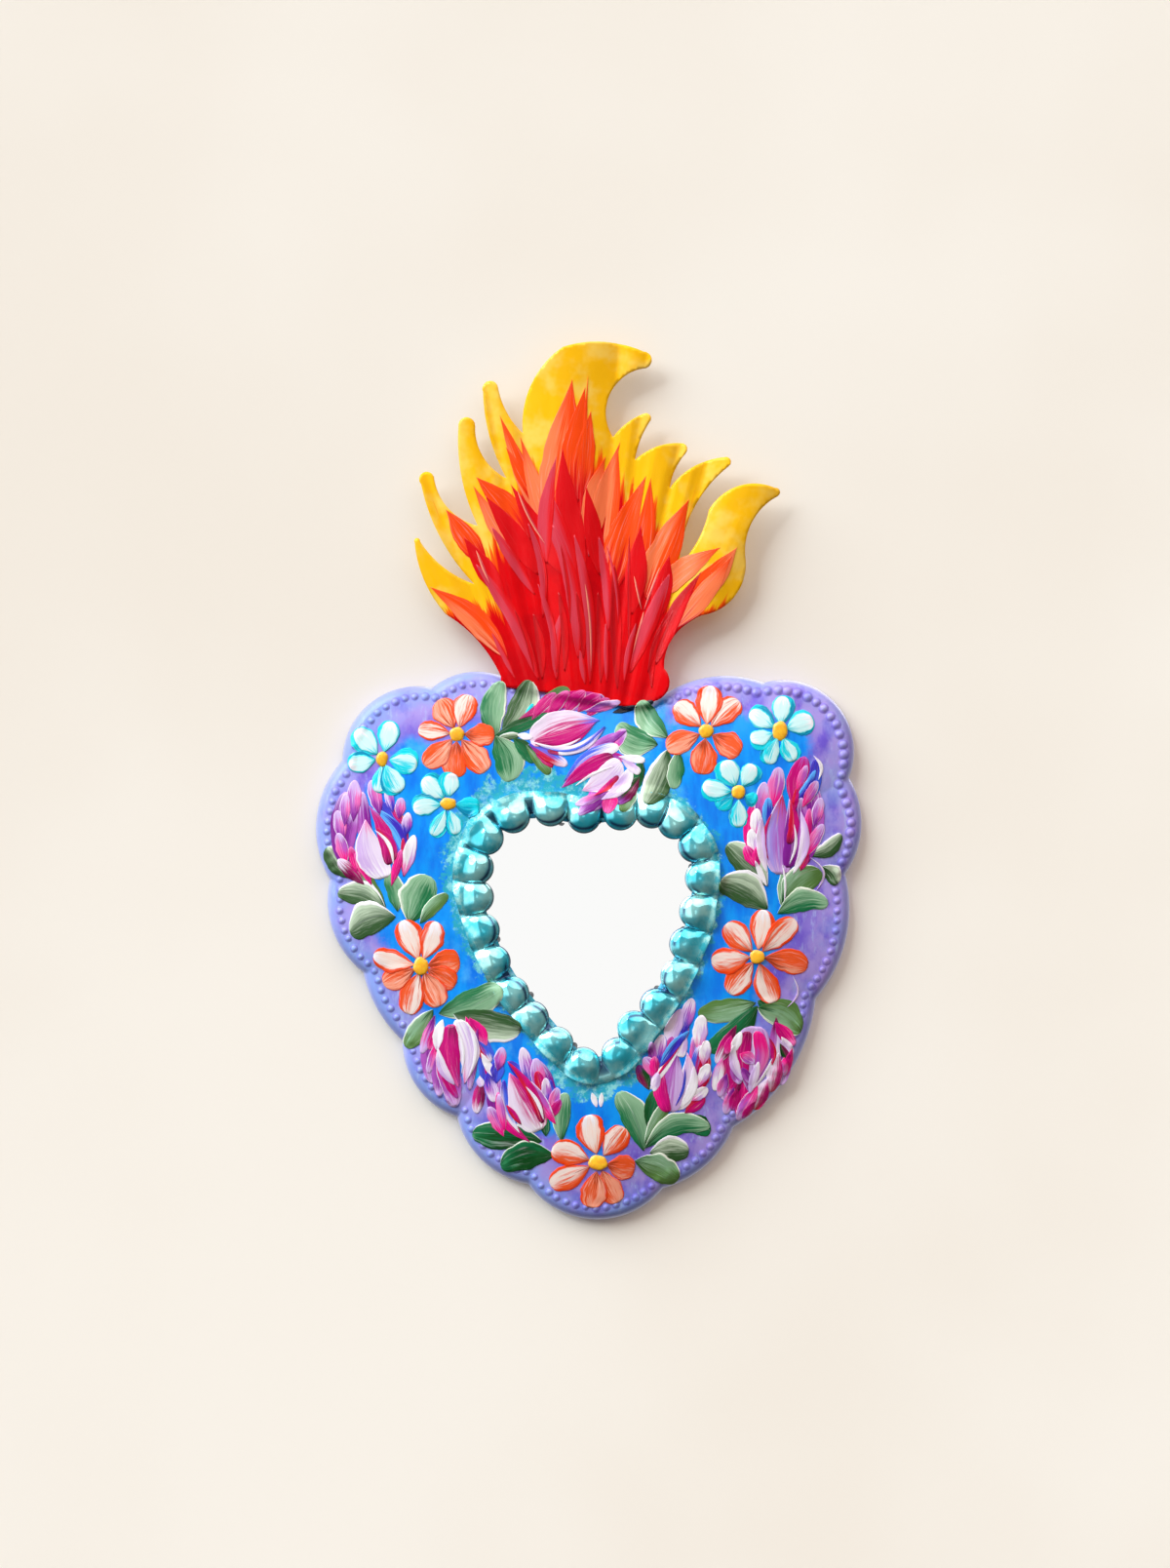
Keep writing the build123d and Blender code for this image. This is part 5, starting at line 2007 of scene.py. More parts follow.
TULIPS: list = rows_of(Profile.ROUND, 0.04, (
    # thin washes under the flowers
    (360, 900, 356, 812, 22, Mix.PLUM, 0.08), (412, 884, 398, 822, 20, Mix.BLUE_BUD, -0.08),
    (384, 880, 372, 812, 16, Mix.ORCHID, 0.05), (777, 890, 778, 815, 18, Mix.HOT, 0.10),
    (828, 884, 830, 800, 20, Mix.PLUM, -0.06), (800, 870, 794, 800, 18, Mix.ORCHID, 0.05),
    (446, 1050, 444, 1110, 16, Mix.PLUM, -0.08), (492, 1052, 496, 1120, 16, Mix.BLUE_BUD, 0.10),
    (462, 1080, 466, 1134, 20, Mix.ORCHID), (522, 1158, 508, 1096, 18, Mix.PLUM, 0.10),
    (560, 1146, 548, 1084, 22, Mix.ORCHID, -0.08), (680, 1128, 682, 1060, 22, Mix.PLUM, 0.12),
    (708, 1130, 712, 1060, 20, Mix.BLUE_BUD, -0.12), (690, 1080, 700, 1040, 20, Mix.ORCHID),
    (748, 1064, 744, 1128, 20, Mix.PLUM, -0.05), (800, 1060, 800, 1112, 18, Mix.ORCHID, 0.05),
    (762, 1094, 760, 1146, 20, Mix.HOT), (566, 730, 620, 716, 16, Mix.PLUM, 0.05),
    (640, 776, 598, 790, 26, Mix.ORCHID), (626, 800, 604, 830, 22, Mix.PLUM),
)) + rows_of(Profile.BUD, 0.14, (
    # left upper: purple petals, left buds, then the right ones
    (360, 872, 366, 831, 14, Mix.PLUM, 0.05), (364, 833, 365, 800, 15, Mix.PALE_BUD),
    (352, 857, 347, 831, 13, Mix.PALE_BUD), (355, 840, 356, 814, 11, Mix.PALE_BUD),
    (355, 880, 348, 854, 13, Mix.PINK_BUD), (369, 901, 348, 881, 14, Mix.WINE),
    (366, 888, 361, 868, 9, Mix.HOT), (379, 900, 366, 874, 11, Mix.HOT),
    (413, 867, 391, 821, 13, Mix.INDIGO, -0.08), (411, 875, 384, 829, 13, Mix.SKY_EDGE, -0.14),
    (389, 828, 382, 800, 14, Mix.PALE_BUD), (412, 842, 401, 823, 7, Mix.DEEP),
    (403, 828, 398, 808, 10, Mix.VIOLET_BUD), (411, 835, 413, 818, 11, Mix.PALE_BUD),
    (418, 852, 420, 833, 11, Mix.VIOLET_BUD), (415, 890, 415, 859, 6, Mix.CRIMSON),
    (418, 889, 426, 856, 13, Mix.WHITE_BUD), (405, 900, 413, 871, 9, Mix.HOT),
    # right upper: chains of buds and the big top bud
    (792, 820, 798, 787, 17, Mix.PINK_BUD), (777, 835, 783, 802, 14, Mix.PALE_BUD),
    (774, 853, 775, 829, 13, Mix.WHITE_BUD), (772, 872, 769, 850, 12, Mix.WHITE_BUD),
    (771, 884, 763, 867, 12, Mix.HOT), (773, 883, 777, 867, 9, Mix.HOT),
    (785, 842, 787, 818, 11, Mix.SKY_EDGE), (816, 819, 824, 776, 22, Mix.DEEP, 0.05),
    (820, 819, 836, 779, 15, Mix.INDIGO, -0.12), (816, 817, 835, 790, 7, Mix.SKY_EDGE, -0.05),
    (818, 805, 826, 785, 9, Mix.PINK_BUD), (824, 853, 820, 818, 13, Mix.PLUM),
    (813, 829, 816, 809, 7, Mix.CRIMSON), (824, 875, 829, 829, 10, Mix.HOT),
    (825, 822, 837, 801, 11, Mix.PINK_BUD), (835, 841, 841, 818, 12, Mix.PALE_BUD),
    (829, 871, 843, 845, 13, Mix.PINK_BUD), (821, 889, 827, 875, 8, Mix.CRIMSON),
    # top centre: the striped feather and the small petals
    (551, 733, 618, 715, 16, Mix.DEEP, 0.08), (551, 733, 570, 711, 12, Mix.STRIPED, 0.05),
    (566, 732, 583, 709, 13, Mix.STRIPED, 0.05), (584, 727, 600, 709, 14, Mix.STRIPED, 0.05),
    (597, 727, 615, 713, 13, Mix.STRIPED, 0.05), (606, 732, 625, 717, 12, Mix.STRIPED, 0.05),
    (608, 728, 636, 720, 10, Mix.PALE_BUD), (550, 767, 567, 787, 10, Mix.CRIMSON),
    (551, 768, 582, 785, 14, Mix.BLUE_BUD), (629, 766, 641, 748, 13, Mix.PINK_BUD),
    (634, 754, 603, 770, 11, Mix.PLUM), (651, 802, 633, 824, 16, Mix.NIGHT),
    (618, 815, 593, 835, 13, Mix.PLUM), (616, 815, 590, 825, 9, Mix.PALE_BUD),
    (628, 813, 622, 834, 15, Mix.HOT),
    # left lower: chains beside the hanging flower
    (444, 1048, 433, 1079, 11, Mix.PALE_BUD), (446, 1057, 441, 1075, 8, Mix.HOT),
    (446, 1075, 440, 1099, 9, Mix.PINK_BUD), (450, 1087, 451, 1123, 13, Mix.PLUM),
    (452, 1090, 468, 1133, 15, Mix.PINK_BUD), (455, 1100, 470, 1125, 9, Mix.DEEP),
    (481, 1047, 490, 1070, 11, Mix.PINK_BUD), (486, 1048, 499, 1071, 14, Mix.HOT, 0.05),
    (489, 1066, 482, 1116, 10, Mix.PLUM), (494, 1070, 504, 1087, 11, Mix.BLUE_BUD),
    (494, 1087, 499, 1107, 9, Mix.INDIGO), (500, 1092, 505, 1105, 8, Mix.CRIMSON),
    (497, 1083, 507, 1102, 8, Mix.LINE), (502, 1104, 508, 1128, 15, Mix.VIOLET_BUD),
    (493, 1112, 489, 1140, 13, Mix.WINE), (493, 1104, 494, 1113, 8, Mix.LILAC),
    # bottom left: the flower that leans up and left
    (510, 1104, 512, 1085, 14, Mix.INDIGO), (512, 1091, 516, 1072, 12, Mix.PALE_BUD),
    (514, 1157, 502, 1133, 13, Mix.PINK_BUD), (537, 1158, 511, 1118, 13, Mix.HOT, 0.14),
    (530, 1148, 517, 1105, 10, Mix.WHITE_BLUE, 0.10), (517, 1150, 512, 1120, 9, Mix.PINK_BUD),
    (543, 1114, 522, 1086, 12, Mix.INDIGO, -0.05), (545, 1105, 536, 1072, 15, Mix.VIOLET_BUD),
    (554, 1113, 550, 1083, 15, Mix.PALE_BUD), (556, 1114, 551, 1096, 10, Mix.CRIMSON),
    (565, 1135, 565, 1105, 8, Mix.INDIGO), (562, 1126, 560, 1103, 11, Mix.VIOLET_BUD),
    (567, 1133, 572, 1113, 11, Mix.PINK_BUD), (566, 1141, 575, 1125, 10, Mix.DEEP),
    (564, 1141, 541, 1106, 14, Mix.PINK_BUD),
    # bottom right: the violet chains
    (688, 1069, 705, 1042, 14, Mix.INDIGO), (701, 1051, 709, 1022, 15, Mix.VIOLET_BUD),
    (684, 1067, 698, 1033, 16, Mix.LILAC), (679, 1085, 689, 1061, 10, Mix.DEEP),
    (673, 1085, 679, 1059, 14, Mix.VIOLET_BUD), (670, 1087, 667, 1066, 9, Mix.PLUM),
    (663, 1110, 654, 1090, 13, Mix.NIGHT), (672, 1099, 660, 1082, 14, Mix.PINK_BUD),
    (670, 1098, 671, 1081, 10, Mix.HOT), (708, 1084, 711, 1061, 5, Mix.PINK_BUD),
    (716, 1068, 719, 1039, 15, Mix.WHITE_BUD), (712, 1098, 718, 1070, 13, Mix.BLUE_BUD),
    (721, 1085, 724, 1065, 12, Mix.WHITE_BUD), (715, 1113, 728, 1096, 11, Mix.BLUE_BUD),
    (718, 1107, 726, 1089, 12, Mix.WHITE_BUD), (706, 1136, 722, 1123, 13, Mix.CRIMSON),
    (712, 1124, 725, 1114, 12, Mix.WHITE_BUD),
    # right lower: the cluster round the hanging flower
    (744, 1078, 739, 1096, 9, Mix.INDIGO), (745, 1081, 748, 1122, 13, Mix.DEEP),
    (750, 1058, 734, 1089, 14, Mix.WINE), (748, 1064, 744, 1079, 9, Mix.HOT),
    (738, 1090, 732, 1117, 12, Mix.WHITE_BUD), (743, 1104, 737, 1123, 11, Mix.PALE_BUD),
    (757, 1108, 748, 1122, 10, Mix.WINE), (750, 1119, 743, 1141, 11, Mix.PALE_BUD),
    (754, 1119, 750, 1137, 10, Mix.DEEP), (795, 1052, 795, 1089, 13, Mix.GREY),
    (798, 1052, 814, 1071, 14, Mix.HOT), (803, 1066, 812, 1081, 10, Mix.LILAC),
    (801, 1073, 809, 1089, 8, Mix.NIGHT), (810, 1080, 804, 1102, 9, Mix.HOT),
    (803, 1087, 802, 1102, 10, Mix.PINK_BUD), (796, 1087, 790, 1119, 16, Mix.RIGHT_PALE),
    (784, 1111, 773, 1137, 16, Mix.RIGHT_PALE), (772, 1119, 756, 1148, 15, Mix.PINK_BUD),
    (771, 1132, 761, 1146, 8, Mix.DEEP), (751, 1092, 758, 1110, 11, Mix.PLUM),
), 0.28) + rows_of(Profile.BULB, 0.16, (
    # bodies of the flowers
    (395, 900, 376, 840, 30, Mix.LAVENDER, 0.10), (401, 886, 380, 826, 15, Mix.DEEP, -0.08),
    (406, 881, 386, 848, 10, Mix.CRIMSON, -0.14), (799, 896, 801, 815, 29, Mix.VIOLET, 0.05),
    (808, 889, 808, 819, 19, Mix.PLUM, -0.06), (808, 865, 809, 820, 11, Mix.CRIMSON, -0.10),
    (566, 765, 610, 742, 10, Mix.DEEP, -0.08), (544, 759, 615, 739, 28, Mix.BLUE_TOP, 0.10),
    (549, 762, 611, 741, 13, Mix.DEEP, -0.07), (562, 771, 618, 751, 8, Mix.CRIMSON, -0.14),
    (573, 773, 621, 746, 8, Mix.BLUE_WHITE, -0.12), (634, 765, 578, 802, 14, Mix.WHITE_BLUE, -0.10),
    (628, 775, 576, 808, 16, Mix.DEEP, -0.04), (637, 782, 597, 811, 25, Mix.LAVENDER, 0.08),
    (634, 796, 609, 816, 7, Mix.CRIMSON, 0.04), (647, 790, 616, 820, 14, Mix.LILAC, 0.12),
    (661, 780, 634, 776, 8, Mix.LINE), (656, 793, 637, 779, 9, Mix.LILAC),
    (471, 1044, 477, 1110, 22, Mix.LAVENDER, 0.12), (463, 1049, 471, 1114, 20, Mix.HOT, -0.08),
    (464, 1050, 472, 1112, 12, Mix.DEEP, -0.02), (553, 1157, 523, 1098, 32, Mix.LEFT_PALE, 0.02),
    (557, 1149, 521, 1086, 11, Mix.CRIMSON, -0.08), (693, 1136, 704, 1077, 20, Mix.LAVENDER, -0.12),
    (687, 1138, 694, 1078, 22, Mix.PURPLE), (684, 1138, 679, 1091, 15, Mix.HOT, 0.10),
    (697, 1082, 702, 1057, 11, Mix.LILAC), (774, 1051, 768, 1120, 36, Mix.PURPLE),
    (765, 1056, 766, 1112, 17, Mix.DEEP, -0.10), (776, 1056, 772, 1110, 16, Mix.PINK_BUD, 0.10),
)) + rows_of(Profile.STRIP, 0.12, (
    # long strips and thin lines over the bodies
    (405, 886, 386, 851, 4, Mix.LINE, -0.14), (787, 882, 790, 834, 4, Mix.CRIMSON, 0.12),
    (785, 894, 780, 838, 10, Mix.LILAC, 0.06), (812, 896, 820, 832, 10, Mix.LILAC, -0.12),
    (808, 886, 813, 845, 3, Mix.LINE, -0.10), (785, 908, 773, 882, 6, Mix.LINE),
    (838, 800, 833, 775, 4, Mix.LINE, -0.22), (559, 766, 596, 757, 3, Mix.LINE, -0.10),
    (546, 761, 620, 745, 6, Mix.WHITE_BLUE, -0.20), (531, 754, 547, 757, 7, Mix.LINE),
    (590, 806, 630, 786, 3, Mix.LINE, 0.06), (480, 1046, 481, 1104, 4, Mix.LINE, 0.14),
    (455, 1044, 449, 1076, 11, Mix.LINE, -0.06), (450, 1074, 467, 1111, 10, Mix.LILAC, -0.10),
    (468, 1050, 474, 1100, 3, Mix.LINE, 0.10), (558, 1146, 540, 1112, 4, Mix.LINE, -0.08),
    (535, 1151, 520, 1131, 6, Mix.CRIMSON), (666, 1115, 698, 1068, 8, Mix.LINE),
    (668, 1108, 697, 1070, 3, Mix.CRIMSON), (676, 1092, 706, 1055, 10, Mix.SKY_EDGE, 0.05),
    (670, 1117, 674, 1097, 10, Mix.LILAC), (697, 1134, 711, 1091, 10, Mix.LINE, -0.12),
    (692, 1132, 702, 1094, 3, Mix.INDIGO, -0.08), (759, 1056, 750, 1078, 10, Mix.LINE),
    (751, 1070, 761, 1107, 10, Mix.LILAC, -0.10), (788, 1063, 791, 1091, 6, Mix.CRIMSON, 0.10),
    (791, 1084, 772, 1115, 3, Mix.LINE, 0.05), (758, 1079, 773, 1089, 13, Mix.PINK_BUD, 0.08),
    (760, 1093, 769, 1110, 9, Mix.PLUM), (777, 1087, 768, 1120, 9, Mix.LILAC),
    (830, 879, 835, 914, 2.4, Mix.LILAC, 0.32), (607, 1118, 612, 1133, 6, Mix.LINE),
    (617, 1118, 616, 1133, 5, Mix.LINE), (801, 886, 803, 924, 2.4, Mix.LINE, 0.05),
    (812, 1000, 806, 1032, 2.2, Mix.LILAC, 0.25),
))

DAISIES: tuple = (
    Daisy((469.8, 753.3), (
        (-93, 44, 24, Mix.EMBER), (-52, 48, 24, Mix.CORAL), (-136, 46, 22, Mix.CORAL),
        (0, 38, 22, Mix.EMBER), (174, 40, 19, Mix.SNOW_LEFT), (117, 40, 24, Mix.CORAL),
        (73, 42, 24, Mix.SNOW_LEFT))),
    Daisy((723.4, 750.4), (
        (-32, 41, 25, Mix.EMBER), (-97, 44, 26, Mix.EMBER), (-156, 44, 22, Mix.CORAL),
        (138, 42, 24, Mix.SNOW_RIGHT), (43, 46, 24, Mix.SNOW_LEFT), (84, 47, 26, Mix.SNOW))),
    Daisy((433.0, 989.5), (
        (8, 40, 27, Mix.EMBER), (-28, 40, 22, Mix.EMBER), (-65, 45, 25, Mix.CORAL),
        (-105, 51, 24, Mix.SNOW_LEFT), (-155, 43, 22, Mix.CORAL), (168, 50, 23, Mix.SNOW),
        (112, 50, 26, Mix.SNOW), (71, 48, 23, Mix.SNOW)), (8, 9)),
    Daisy((775.3, 979.7), (
        (-10, 53, 24, Mix.EMBER), (-70, 50, 24, Mix.SNOW_RIGHT), (-127, 47, 24, Mix.SNOW_LEFT),
        (-174, 47, 25, Mix.SNOW_RIGHT), (134, 46, 24, Mix.SNOW_RIGHT), (82, 48, 25, Mix.SNOW),
        (44, 54, 23, Mix.SNOW_RIGHT))),
    Daisy((613.3, 1189.9), (
        (-10, 38, 25, Mix.EMBER), (-64, 46, 23, Mix.CORAL), (-100, 47, 26, Mix.CORAL),
        (-155, 54, 24, Mix.SNOW_RIGHT), (164, 49, 25, Mix.SNOW_RIGHT), (53, 45, 24, Mix.SNOW_LEFT),
        (101, 50, 28, Mix.SNOW)), (10, 8), 9.0),
    Daisy((393.3, 778.5), (
        (133, 40, 23, Mix.ICE), (77, 39, 21, Mix.ICE), (-170, 35, 20, Mix.ICE),
        (-98, 34, 17, Mix.ICE_LEFT), (-61, 38, 22, Mix.ICE_LEFT), (-10, 36, 23, Mix.ICE_LEFT)), (6, 8)),
    Daisy((460.9, 824.0), (
        (135, 36, 21, Mix.ICE), (83, 31, 18, Mix.ICE), (-172, 36, 20, Mix.ICE),
        (-117, 36, 16, Mix.ICE_LEFT), (-75, 32, 16, Mix.ICE_LEFT), (-5, 31, 19, Mix.POND)), (8, 6.5)),
    Daisy((798.6, 750.4), (
        (84, 36, 21, Mix.ICE), (20, 36, 24, Mix.ICE), (-65, 33, 18, Mix.ICE_LEFT),
        (-110, 35, 17, Mix.ICE_LEFT), (-165, 31, 18, Mix.ICE), (147, 36, 20, Mix.ICE)), (8, 10)),
    Daisy((756.3, 812.5), (
        (-141, 26, 15, Mix.POND), (114, 35, 22, Mix.ICE), (62, 32, 19, Mix.ICE), (170, 37, 21, Mix.ICE),
        (-90, 35, 18, Mix.ICE_LEFT), (-25, 20, 14, Mix.POND)), (7, 7)),
)

FEATHERS: list = rows_of(Profile.FEATHER, 0.035, (
    # orange feathers of each tongue, left to right
    (503, 659, 442, 603, 25, Mix.AMBER_LEFT, -0.06), (489, 567, 458, 524, 24, Mix.FIRE),
    (520, 560, 486, 500, 16, Mix.PEACH), (531, 541, 489, 491, 28, Mix.FIRE, -0.04),
    (548, 518, 513, 428, 17, Mix.AMBER_LEFT), (549, 512, 519, 460, 14, Mix.FIRE),
    (560, 540, 534, 450, 17, Mix.PEACH), (566, 505, 587, 392, 38, Mix.AMBER_LEFT, -0.02),
    (588, 498, 600, 400, 26, Mix.FIRE, 0.02), (596, 495, 606, 424, 22, Mix.FIRE),
    (603, 537, 621, 470, 18, Mix.PEACH, 0.03), (611, 545, 636, 455, 17, Mix.PEACH, 0.02),
    (622, 556, 634, 463, 13, Mix.AMBER_LEFT, -0.02), (632, 590, 662, 490, 30, Mix.FIRE, 0.04),
    (654, 588, 667, 492, 22, Mix.FIRE, -0.02), (672, 592, 706, 514, 32, Mix.AMBER_LEFT, 0.02),
    (684, 604, 738, 563, 24, Mix.PEACH, 0.05), (716, 606, 755, 563, 24, Mix.AMBER_RIGHT, -0.04),
    (706, 628, 750, 572, 20, Mix.PEACH, -0.02),
    # red over them, with cerise streaks as painted highlight and a dark red stroke as painted shade
    (540, 572, 498, 510, 22, Mix.SCARLET, -0.02), (566, 570, 524, 498, 20, Mix.SCARLET),
    (508, 600, 476, 552, 20, Mix.SCARLET), (594, 560, 577, 462, 25, Mix.SCARLET, 0.04),
    (612, 570, 601, 500, 18, Mix.SCARLET), (584, 572, 561, 500, 20, Mix.CERISE, 0.02),
    (563, 554, 571, 470, 16, Mix.CERISE, 0.05), (650, 610, 657, 540, 22, Mix.SCARLET),
    (676, 622, 686, 570, 20, Mix.SCARLET), (683, 660, 719, 587, 17, Mix.BLOOD, 0.05),
    (597, 500, 603, 388, 5, Mix.FIRE),
), 0.3) + rows_of(Profile.STRIP, 0.05, (
    # painted highlight: rose streaks on the pleats' ridges and thin salmon glints; painted shade: the dark red in the
    # folds between them
    (553, 698, 489, 580, 14, Mix.CERISE, -0.05), (549, 611, 505, 542, 11, Mix.CERISE),
    (557, 634, 542, 538, 8, Mix.CERISE, -0.07), (571, 698, 576, 628, 9, Mix.CERISE, 0.05),
    (593, 676, 567, 540, 15, Mix.CERISE, -0.055), (605, 702, 589, 550, 11, Mix.CERISE, -0.045),
    (624, 648, 614, 552, 10, Mix.CERISE, -0.03), (600, 702, 595, 668, 6, Mix.CERISE),
    (646, 690, 686, 590, 15, Mix.CERISE), (529, 697, 505, 650, 5, Mix.CERISE),
    (660, 627, 676, 583, 2.2, Mix.GLINT), (658, 627, 650, 592, 2.2, Mix.GLINT),
    (649, 671, 660, 628, 2.2, Mix.GLINT), (645, 676, 645, 550, 3.5, Mix.BLOOD),
    (668, 706, 678, 640, 7, Mix.BLOOD, 0.06), (556, 697, 547, 630, 9, Mix.BLOOD, -0.05),
    (579, 689, 573, 608, 8, Mix.BLOOD, -0.04), (598, 676, 591, 608, 7, Mix.BLOOD, -0.04),
    (616, 701, 613, 608, 9, Mix.BLOOD, -0.02), (633, 707, 630, 580, 11, Mix.BLOOD),
    (560, 560, 531, 505, 3, Mix.GLINT, 0.03), (503, 600, 489, 566, 3, Mix.GLINT),
    (634, 640, 622, 560, 3, Mix.CERISE, -0.04), (606, 690, 600, 600, 2.4, Mix.GLINT, -0.03),
    (640, 700, 652, 640, 6, Mix.CERISE, 0.03), (571, 690, 552, 600, 7, Mix.CERISE, -0.05),
    (548, 690, 528, 626, 4, Mix.BLOOD, -0.04), (664, 690, 690, 628, 6, Mix.BLOOD, 0.05),
    (622, 700, 621, 640, 5, Mix.CERISE), (585, 640, 575, 560, 4, Mix.BLOOD, -0.03),
))


@dataclass
class Eyes:
    """The yellow centres of the daisies."""

    relief: Relief
    spokes: int = 28
    rings: int = 7
    rise: float = 0.8

    def make(self, daisies: Sequence[Daisy], yolk: bpy.types.Material) -> bpy.types.Object:
        """Make the centres as one object.

        Args:
            daisies: the daisies.
            yolk: the yellow paint.
        Returns:
            The centres.
        """
        body = Body()
        for daisy in daisies:
            self.eye(body, daisy)
        return body.make("daisy_centres", yolk)

    def eye(self, body: Body, daisy: Daisy) -> None:
        """Add one centre.

        Args:
            body: where to add it.
            daisy: its daisy.
        """
        spokes = self.spokes
        centre = grid(*daisy.centre)
        flat, lift = [centre], [1.0]
        for ring in range(1, self.rings + 1):
            share = ring / self.rings
            for spoke in range(spokes):
                turn = math.tau * spoke / spokes
                way = np.array((math.cos(turn), math.sin(turn)))
                ragged = 1.0 + 0.16 * noise.noise(Vector((*(way * 1.4), daisy.centre[0])))
                flat.append(centre + way * np.array(daisy.eye) * share * ragged * GRID_STEP)
                lift.append(0.2 + 0.8 * math.sqrt(max(0.0, 1.0 - share**2)))
        ground = float(self.relief.sample(np.array(flat)).mean())
        top = np.column_stack((flat, ground + 0.1 + np.array(lift) * self.rise))
        skirt = top[-spokes:].copy()
        skirt[:, 2] = ground - 0.4
        points = np.concatenate((top, skirt, np.append(centre, ground - 0.4)[None]))
        body.take(points, disc_faces(self.rings + 1, spokes))


# ---------------------------------------------------------------- the room


@dataclass
class Room:
    """Wall, lamps, sky and camera."""

    wall_colour: tuple = srgb(243, 236, 226)
    wall_shade: tuple = srgb(238, 229, 217)
    wall_size: float = 3.0
    wall_place: float = 0.0003
    camera_gap: float = 1.5
    picture_rows: int = 1608
    picture_middle: Point = (600.0, 804.0)
    air: float = 0.255  # even light of the sky on dull surfaces
    room: float = 0.34  # what shiny pieces reflect of the room, and how much darker its floor is
    floor: float = -0.24
    left_window: float = 1.7
    top_window: float = 1.25
    back_window: float = 0.85

    def build(self) -> None:
        """Make the wall, the light and the camera."""
        self.wall()
        self.sky()
        self.sun("key_light", (-0.70, -0.42, 0.66), 50.0, 4.14, (0.88, 1.0, 1.06))
        self.sun("fill_light", (0.30, -0.60, 0.90), 70.0, 1.66, (1.0, 0.882, 0.816))
        self.sun("glint_light", (-0.45, -0.75, 0.60), 7.0, 0.22, (1.0, 1.0, 1.0))
        self.sun("rear_light", (0.4, 1.0, 0.6), 40.0, 0.9, (1.0, 1.0, 1.0))
        self.camera()

    def wall(self) -> None:
        """Make the wall behind the mirror; from behind it can be seen through."""
        half = self.wall_size / 2.0
        mesh = bpy.data.meshes.new("wall")
        y = self.wall_place
        corners = [(-half, y, -half), (half, y, -half), (half, y, half), (-half, y, half)]
        mesh.from_pydata(corners, [], [(0, 1, 2, 3)])
        made = bpy.data.objects.new("wall", mesh)
        bpy.context.scene.collection.objects.link(made)
        material, graph, shader = new_material("wall_plaster")
        place = graph.bench()
        drift = graph.grain(place, 260.0, 3.0, 0.5)
        colour = graph.mix(graph.step(drift, 0.35, 0.65), self.wall_shade, self.wall_colour)
        look = Look(colour, graph.grain(place, 2.5, 3.0, 0.5))
        dress(graph, shader, Surface(roughness=0.85, bump=0.04), look)
        seen = graph.out("LightPath", None, "Is Camera Ray")
        behind = graph.out("NewGeometry", None, "Backfacing")
        both = graph.out("MixShader", {0: seen * (1.0 - behind), 1: graph.out("BsdfTransparent"),
                                       2: Value(graph, shader.outputs[0])})
        graph.feed(graph.tree.nodes["Material Output"].inputs, {"Surface": both})
        mesh.materials.append(material)
        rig.stage(made)

    def sky(self) -> None:
        """Light the scene evenly, and give the shiny pieces a room to reflect."""
        world = bpy.data.worlds.new("room_light")
        bpy.context.scene.world = world
        world.use_nodes = True
        graph = Graph(world.node_tree)
        ground = world.node_tree.nodes["Background"]
        x, y, z = graph.split(graph.out("TexCoord", None, "Generated"))
        left = graph.step(x, -0.30, -0.48) * graph.step(z, -0.55, -0.2)
        room = graph.step(z, 0.0, -0.6) * self.floor + self.room
        room = room * (1.0 - graph.step(x, 0.15, 0.6) * 0.5)
        room = room.at_least(left * self.left_window)
        room = room.at_least(graph.step(z, 0.35, 0.7) * self.top_window)
        room = room.at_least(graph.step(y, -0.990, -0.9945))
        room = room.at_least(graph.step(y, 0.1, 0.7) * self.back_window)
        path = graph.add("LightPath").outputs
        shiny = Value(graph, path["Is Glossy Ray"])
        clear = graph.math("ADD", Value(graph, path["Is Camera Ray"]),
                           Value(graph, path["Is Transmission Ray"]), clamp=True)
        strength = graph.out("Mix", {0: shiny, 2: self.air, 3: room}, data_type="FLOAT")
        strength = graph.out("Mix", {0: clear, 2: strength, 3: 1.0}, data_type="FLOAT")
        tint = graph.mix(shiny.at_least(clear), (1.0, 0.882, 0.816, 1.0), (1.0, 0.995, 0.985, 1.0))
        graph.feed(ground.inputs, {"Color": tint, "Strength": strength})

    def sun(self, name: str, place: tuple, spread: float, power: float, tint: tuple) -> None:
        """Make one soft distant light.

        Args:
            name: name of the light.
            place: the way to it from the heart.
            spread: its width as seen from the heart, in degrees.
            power: its strength.
            tint: its colour.
        """
        light = bpy.data.lights.new(name, "SUN")
        light.color = tint
        light.angle = math.radians(spread)
        light.energy = power
        made = bpy.data.objects.new(name, light)
        made.rotation_euler = (-Vector(place)).to_track_quat("-Z", "Y").to_euler()
        bpy.context.scene.collection.objects.link(made)

    def camera(self) -> None:
        """Make the camera, square on to the wall."""
        data = bpy.data.cameras.new("camera")
        data.sensor_width = 36.0
        data.lens = data.sensor_width * self.camera_gap * MM / (self.picture_rows * GRID_STEP)
        made = bpy.data.objects.new("camera", data)
        middle = grid(*self.picture_middle) / MM
        made.location = (middle[0], -self.camera_gap, middle[1])
        made.rotation_euler = (math.pi / 2.0, 0.0, 0.0)
        bpy.context.scene.collection.objects.link(made)
        bpy.context.scene.camera = made
        bpy.context.scene.view_settings.view_transform = "Standard"


def save_size(path: str) -> None:
    """Write the shown object's lowest and highest corner.

    Args:
        path: file to write.
    """
    low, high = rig.bounds()
    with open(path, "w") as file:
        json.dump([list(low), list(high)], file)


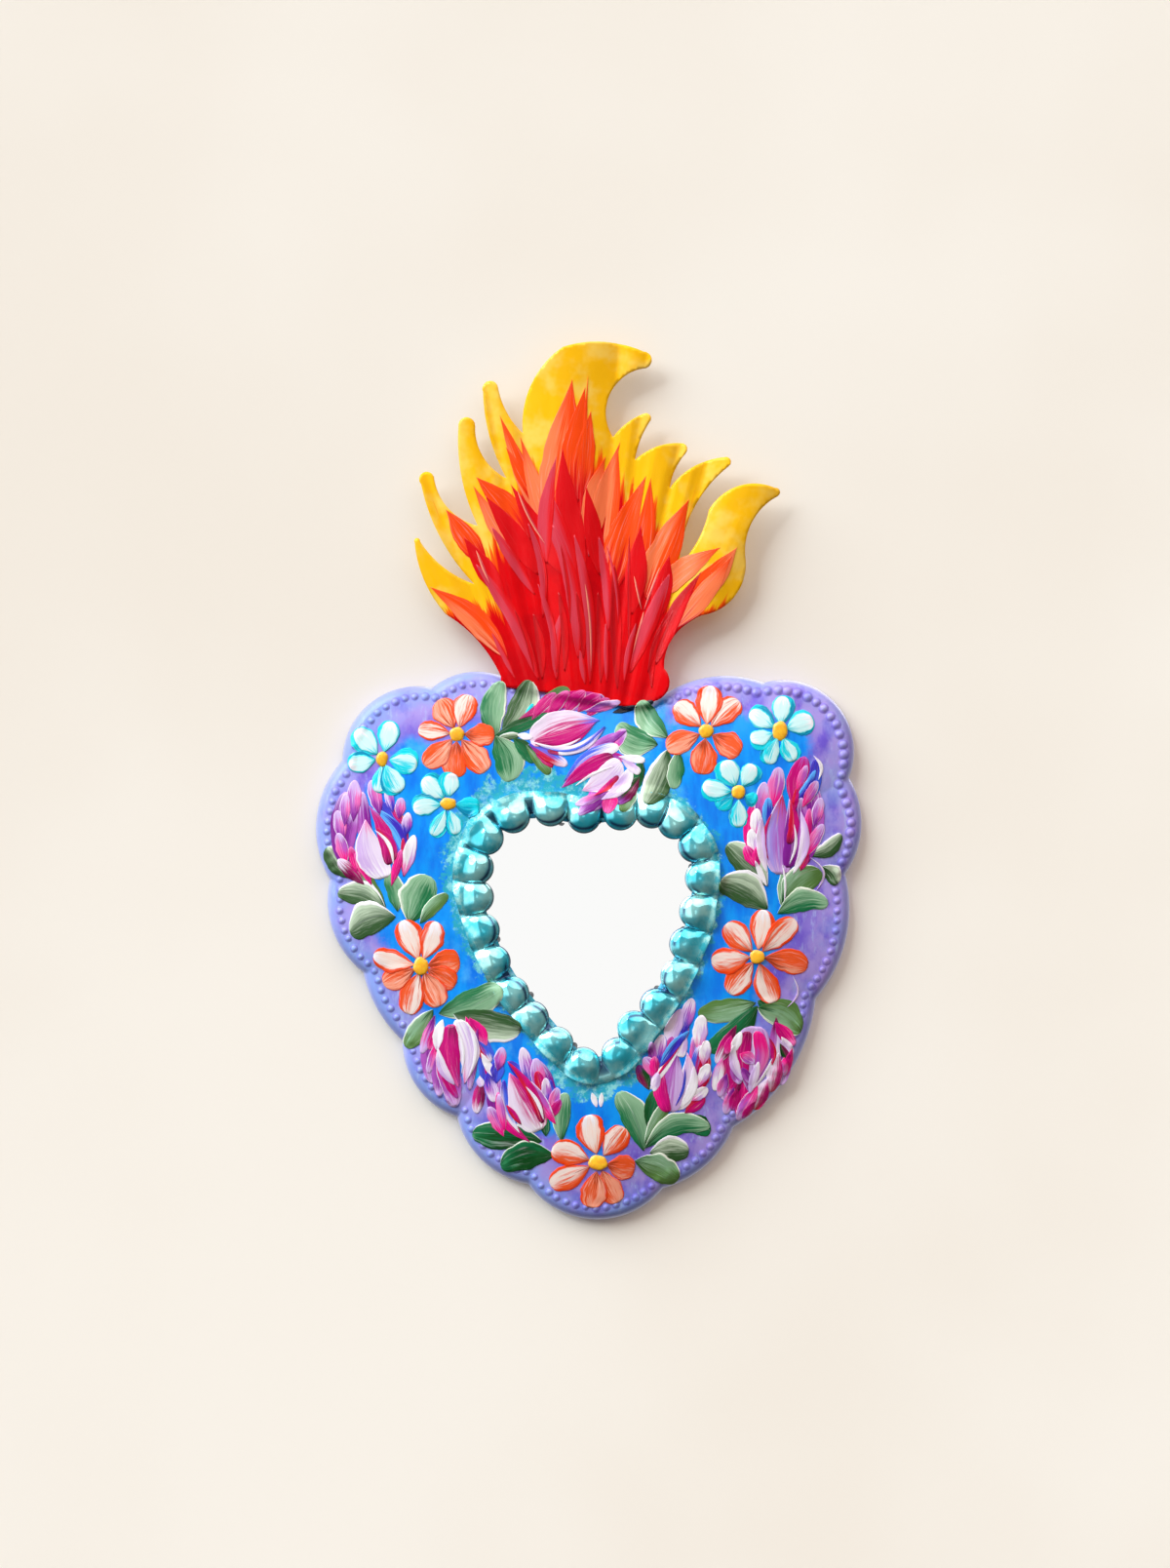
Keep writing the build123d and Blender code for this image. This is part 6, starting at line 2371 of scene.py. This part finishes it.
def dress_nodes(nodes: dict[str, bpy.types.Object], effects: Effects) -> None:
    """Give the plain pieces their finishes.

    Args:
        nodes: the pieces, by name.
        effects: the shared effects.
    """
    tin, solder = TinFinish().make(effects), SOLDER.make(effects)
    finishes = {"mirror_glass": GlassFinish().make(effects), "backing_card": CARD.make(effects),
                "back_plate": tin, "hanger_strap": tin, "hanging_loop": WIRE.make(effects)}
    finishes.update({name: tin for name in nodes if name.startswith("mirror_tab_")})
    finishes.update({name: solder for name in nodes if name.endswith("_solder")})
    for name, material in finishes.items():
        nodes[name].data.materials.clear()
        nodes[name].data.materials.append(material)


def settle(piece: bpy.types.Object, slot: str, *nodes: str) -> None:
    """Fix a piece to the mirror and name its slot and the nodes that it stands for.

    Args:
        piece: the piece.
        slot: its material slot.
        nodes: nodes that it replaces.
    """
    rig.ride(piece, "mirror")
    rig.slot(piece, slot)
    if nodes:
        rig.replaces(piece, *nodes)


def main() -> None:
    """Build every part of the scene in order."""
    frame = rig.load()
    save_size("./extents.json")
    effects = Effects()
    mirror = MirrorShape()
    heart_paint = HeartFinish().make(effects)
    heart = HeartFront(mirror)
    front = heart.make(heart_paint)
    log.info("heart front: %d points", len(front.data.vertices))
    flame = Flame().make(FlameFinish().make(effects))
    log.info("flame: %d points", len(flame.data.vertices))
    bezel = Bezel(mirror).make(LacquerFinish().make(effects))
    beads = heart.beads(Drape.over([front]), heart_paint)
    relief = Relief.over(Drape.over([front, beads, flame, bezel]), *PAINTED_AREA, RELIEF_CELL)
    painter = Painter(relief)
    paint = BrushFinish().make(effects)
    feathers = painter.gather("flame_feathers", FEATHERS, paint)
    painted = [painter.gather("painted_leaves", LEAVES, paint),
               painter.gather("painted_tulips", TULIPS, paint),
               painter.gather("painted_daisies", (s for daisy in DAISIES for s in daisy.strokes()), paint),
               Eyes(relief).make(DAISIES, YOLK.make(effects))]
    settle(front, "painted_heart", "heart_front")
    settle(beads, "painted_heart")
    settle(flame, "painted_flame", "flame")
    settle(feathers, "painted_flame")
    settle(bezel, "painted_bezel", "mirror_bezel")
    for piece in painted:
        settle(piece, "painted_heart")
        log.info("%s: %d points", piece.name, len(piece.data.vertices))
    dress_nodes(frame["nodes"], effects)
    Room().build()
    save_size("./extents.json")


if __name__ == "__main__":
    logging.basicConfig(level=logging.INFO)
    main()
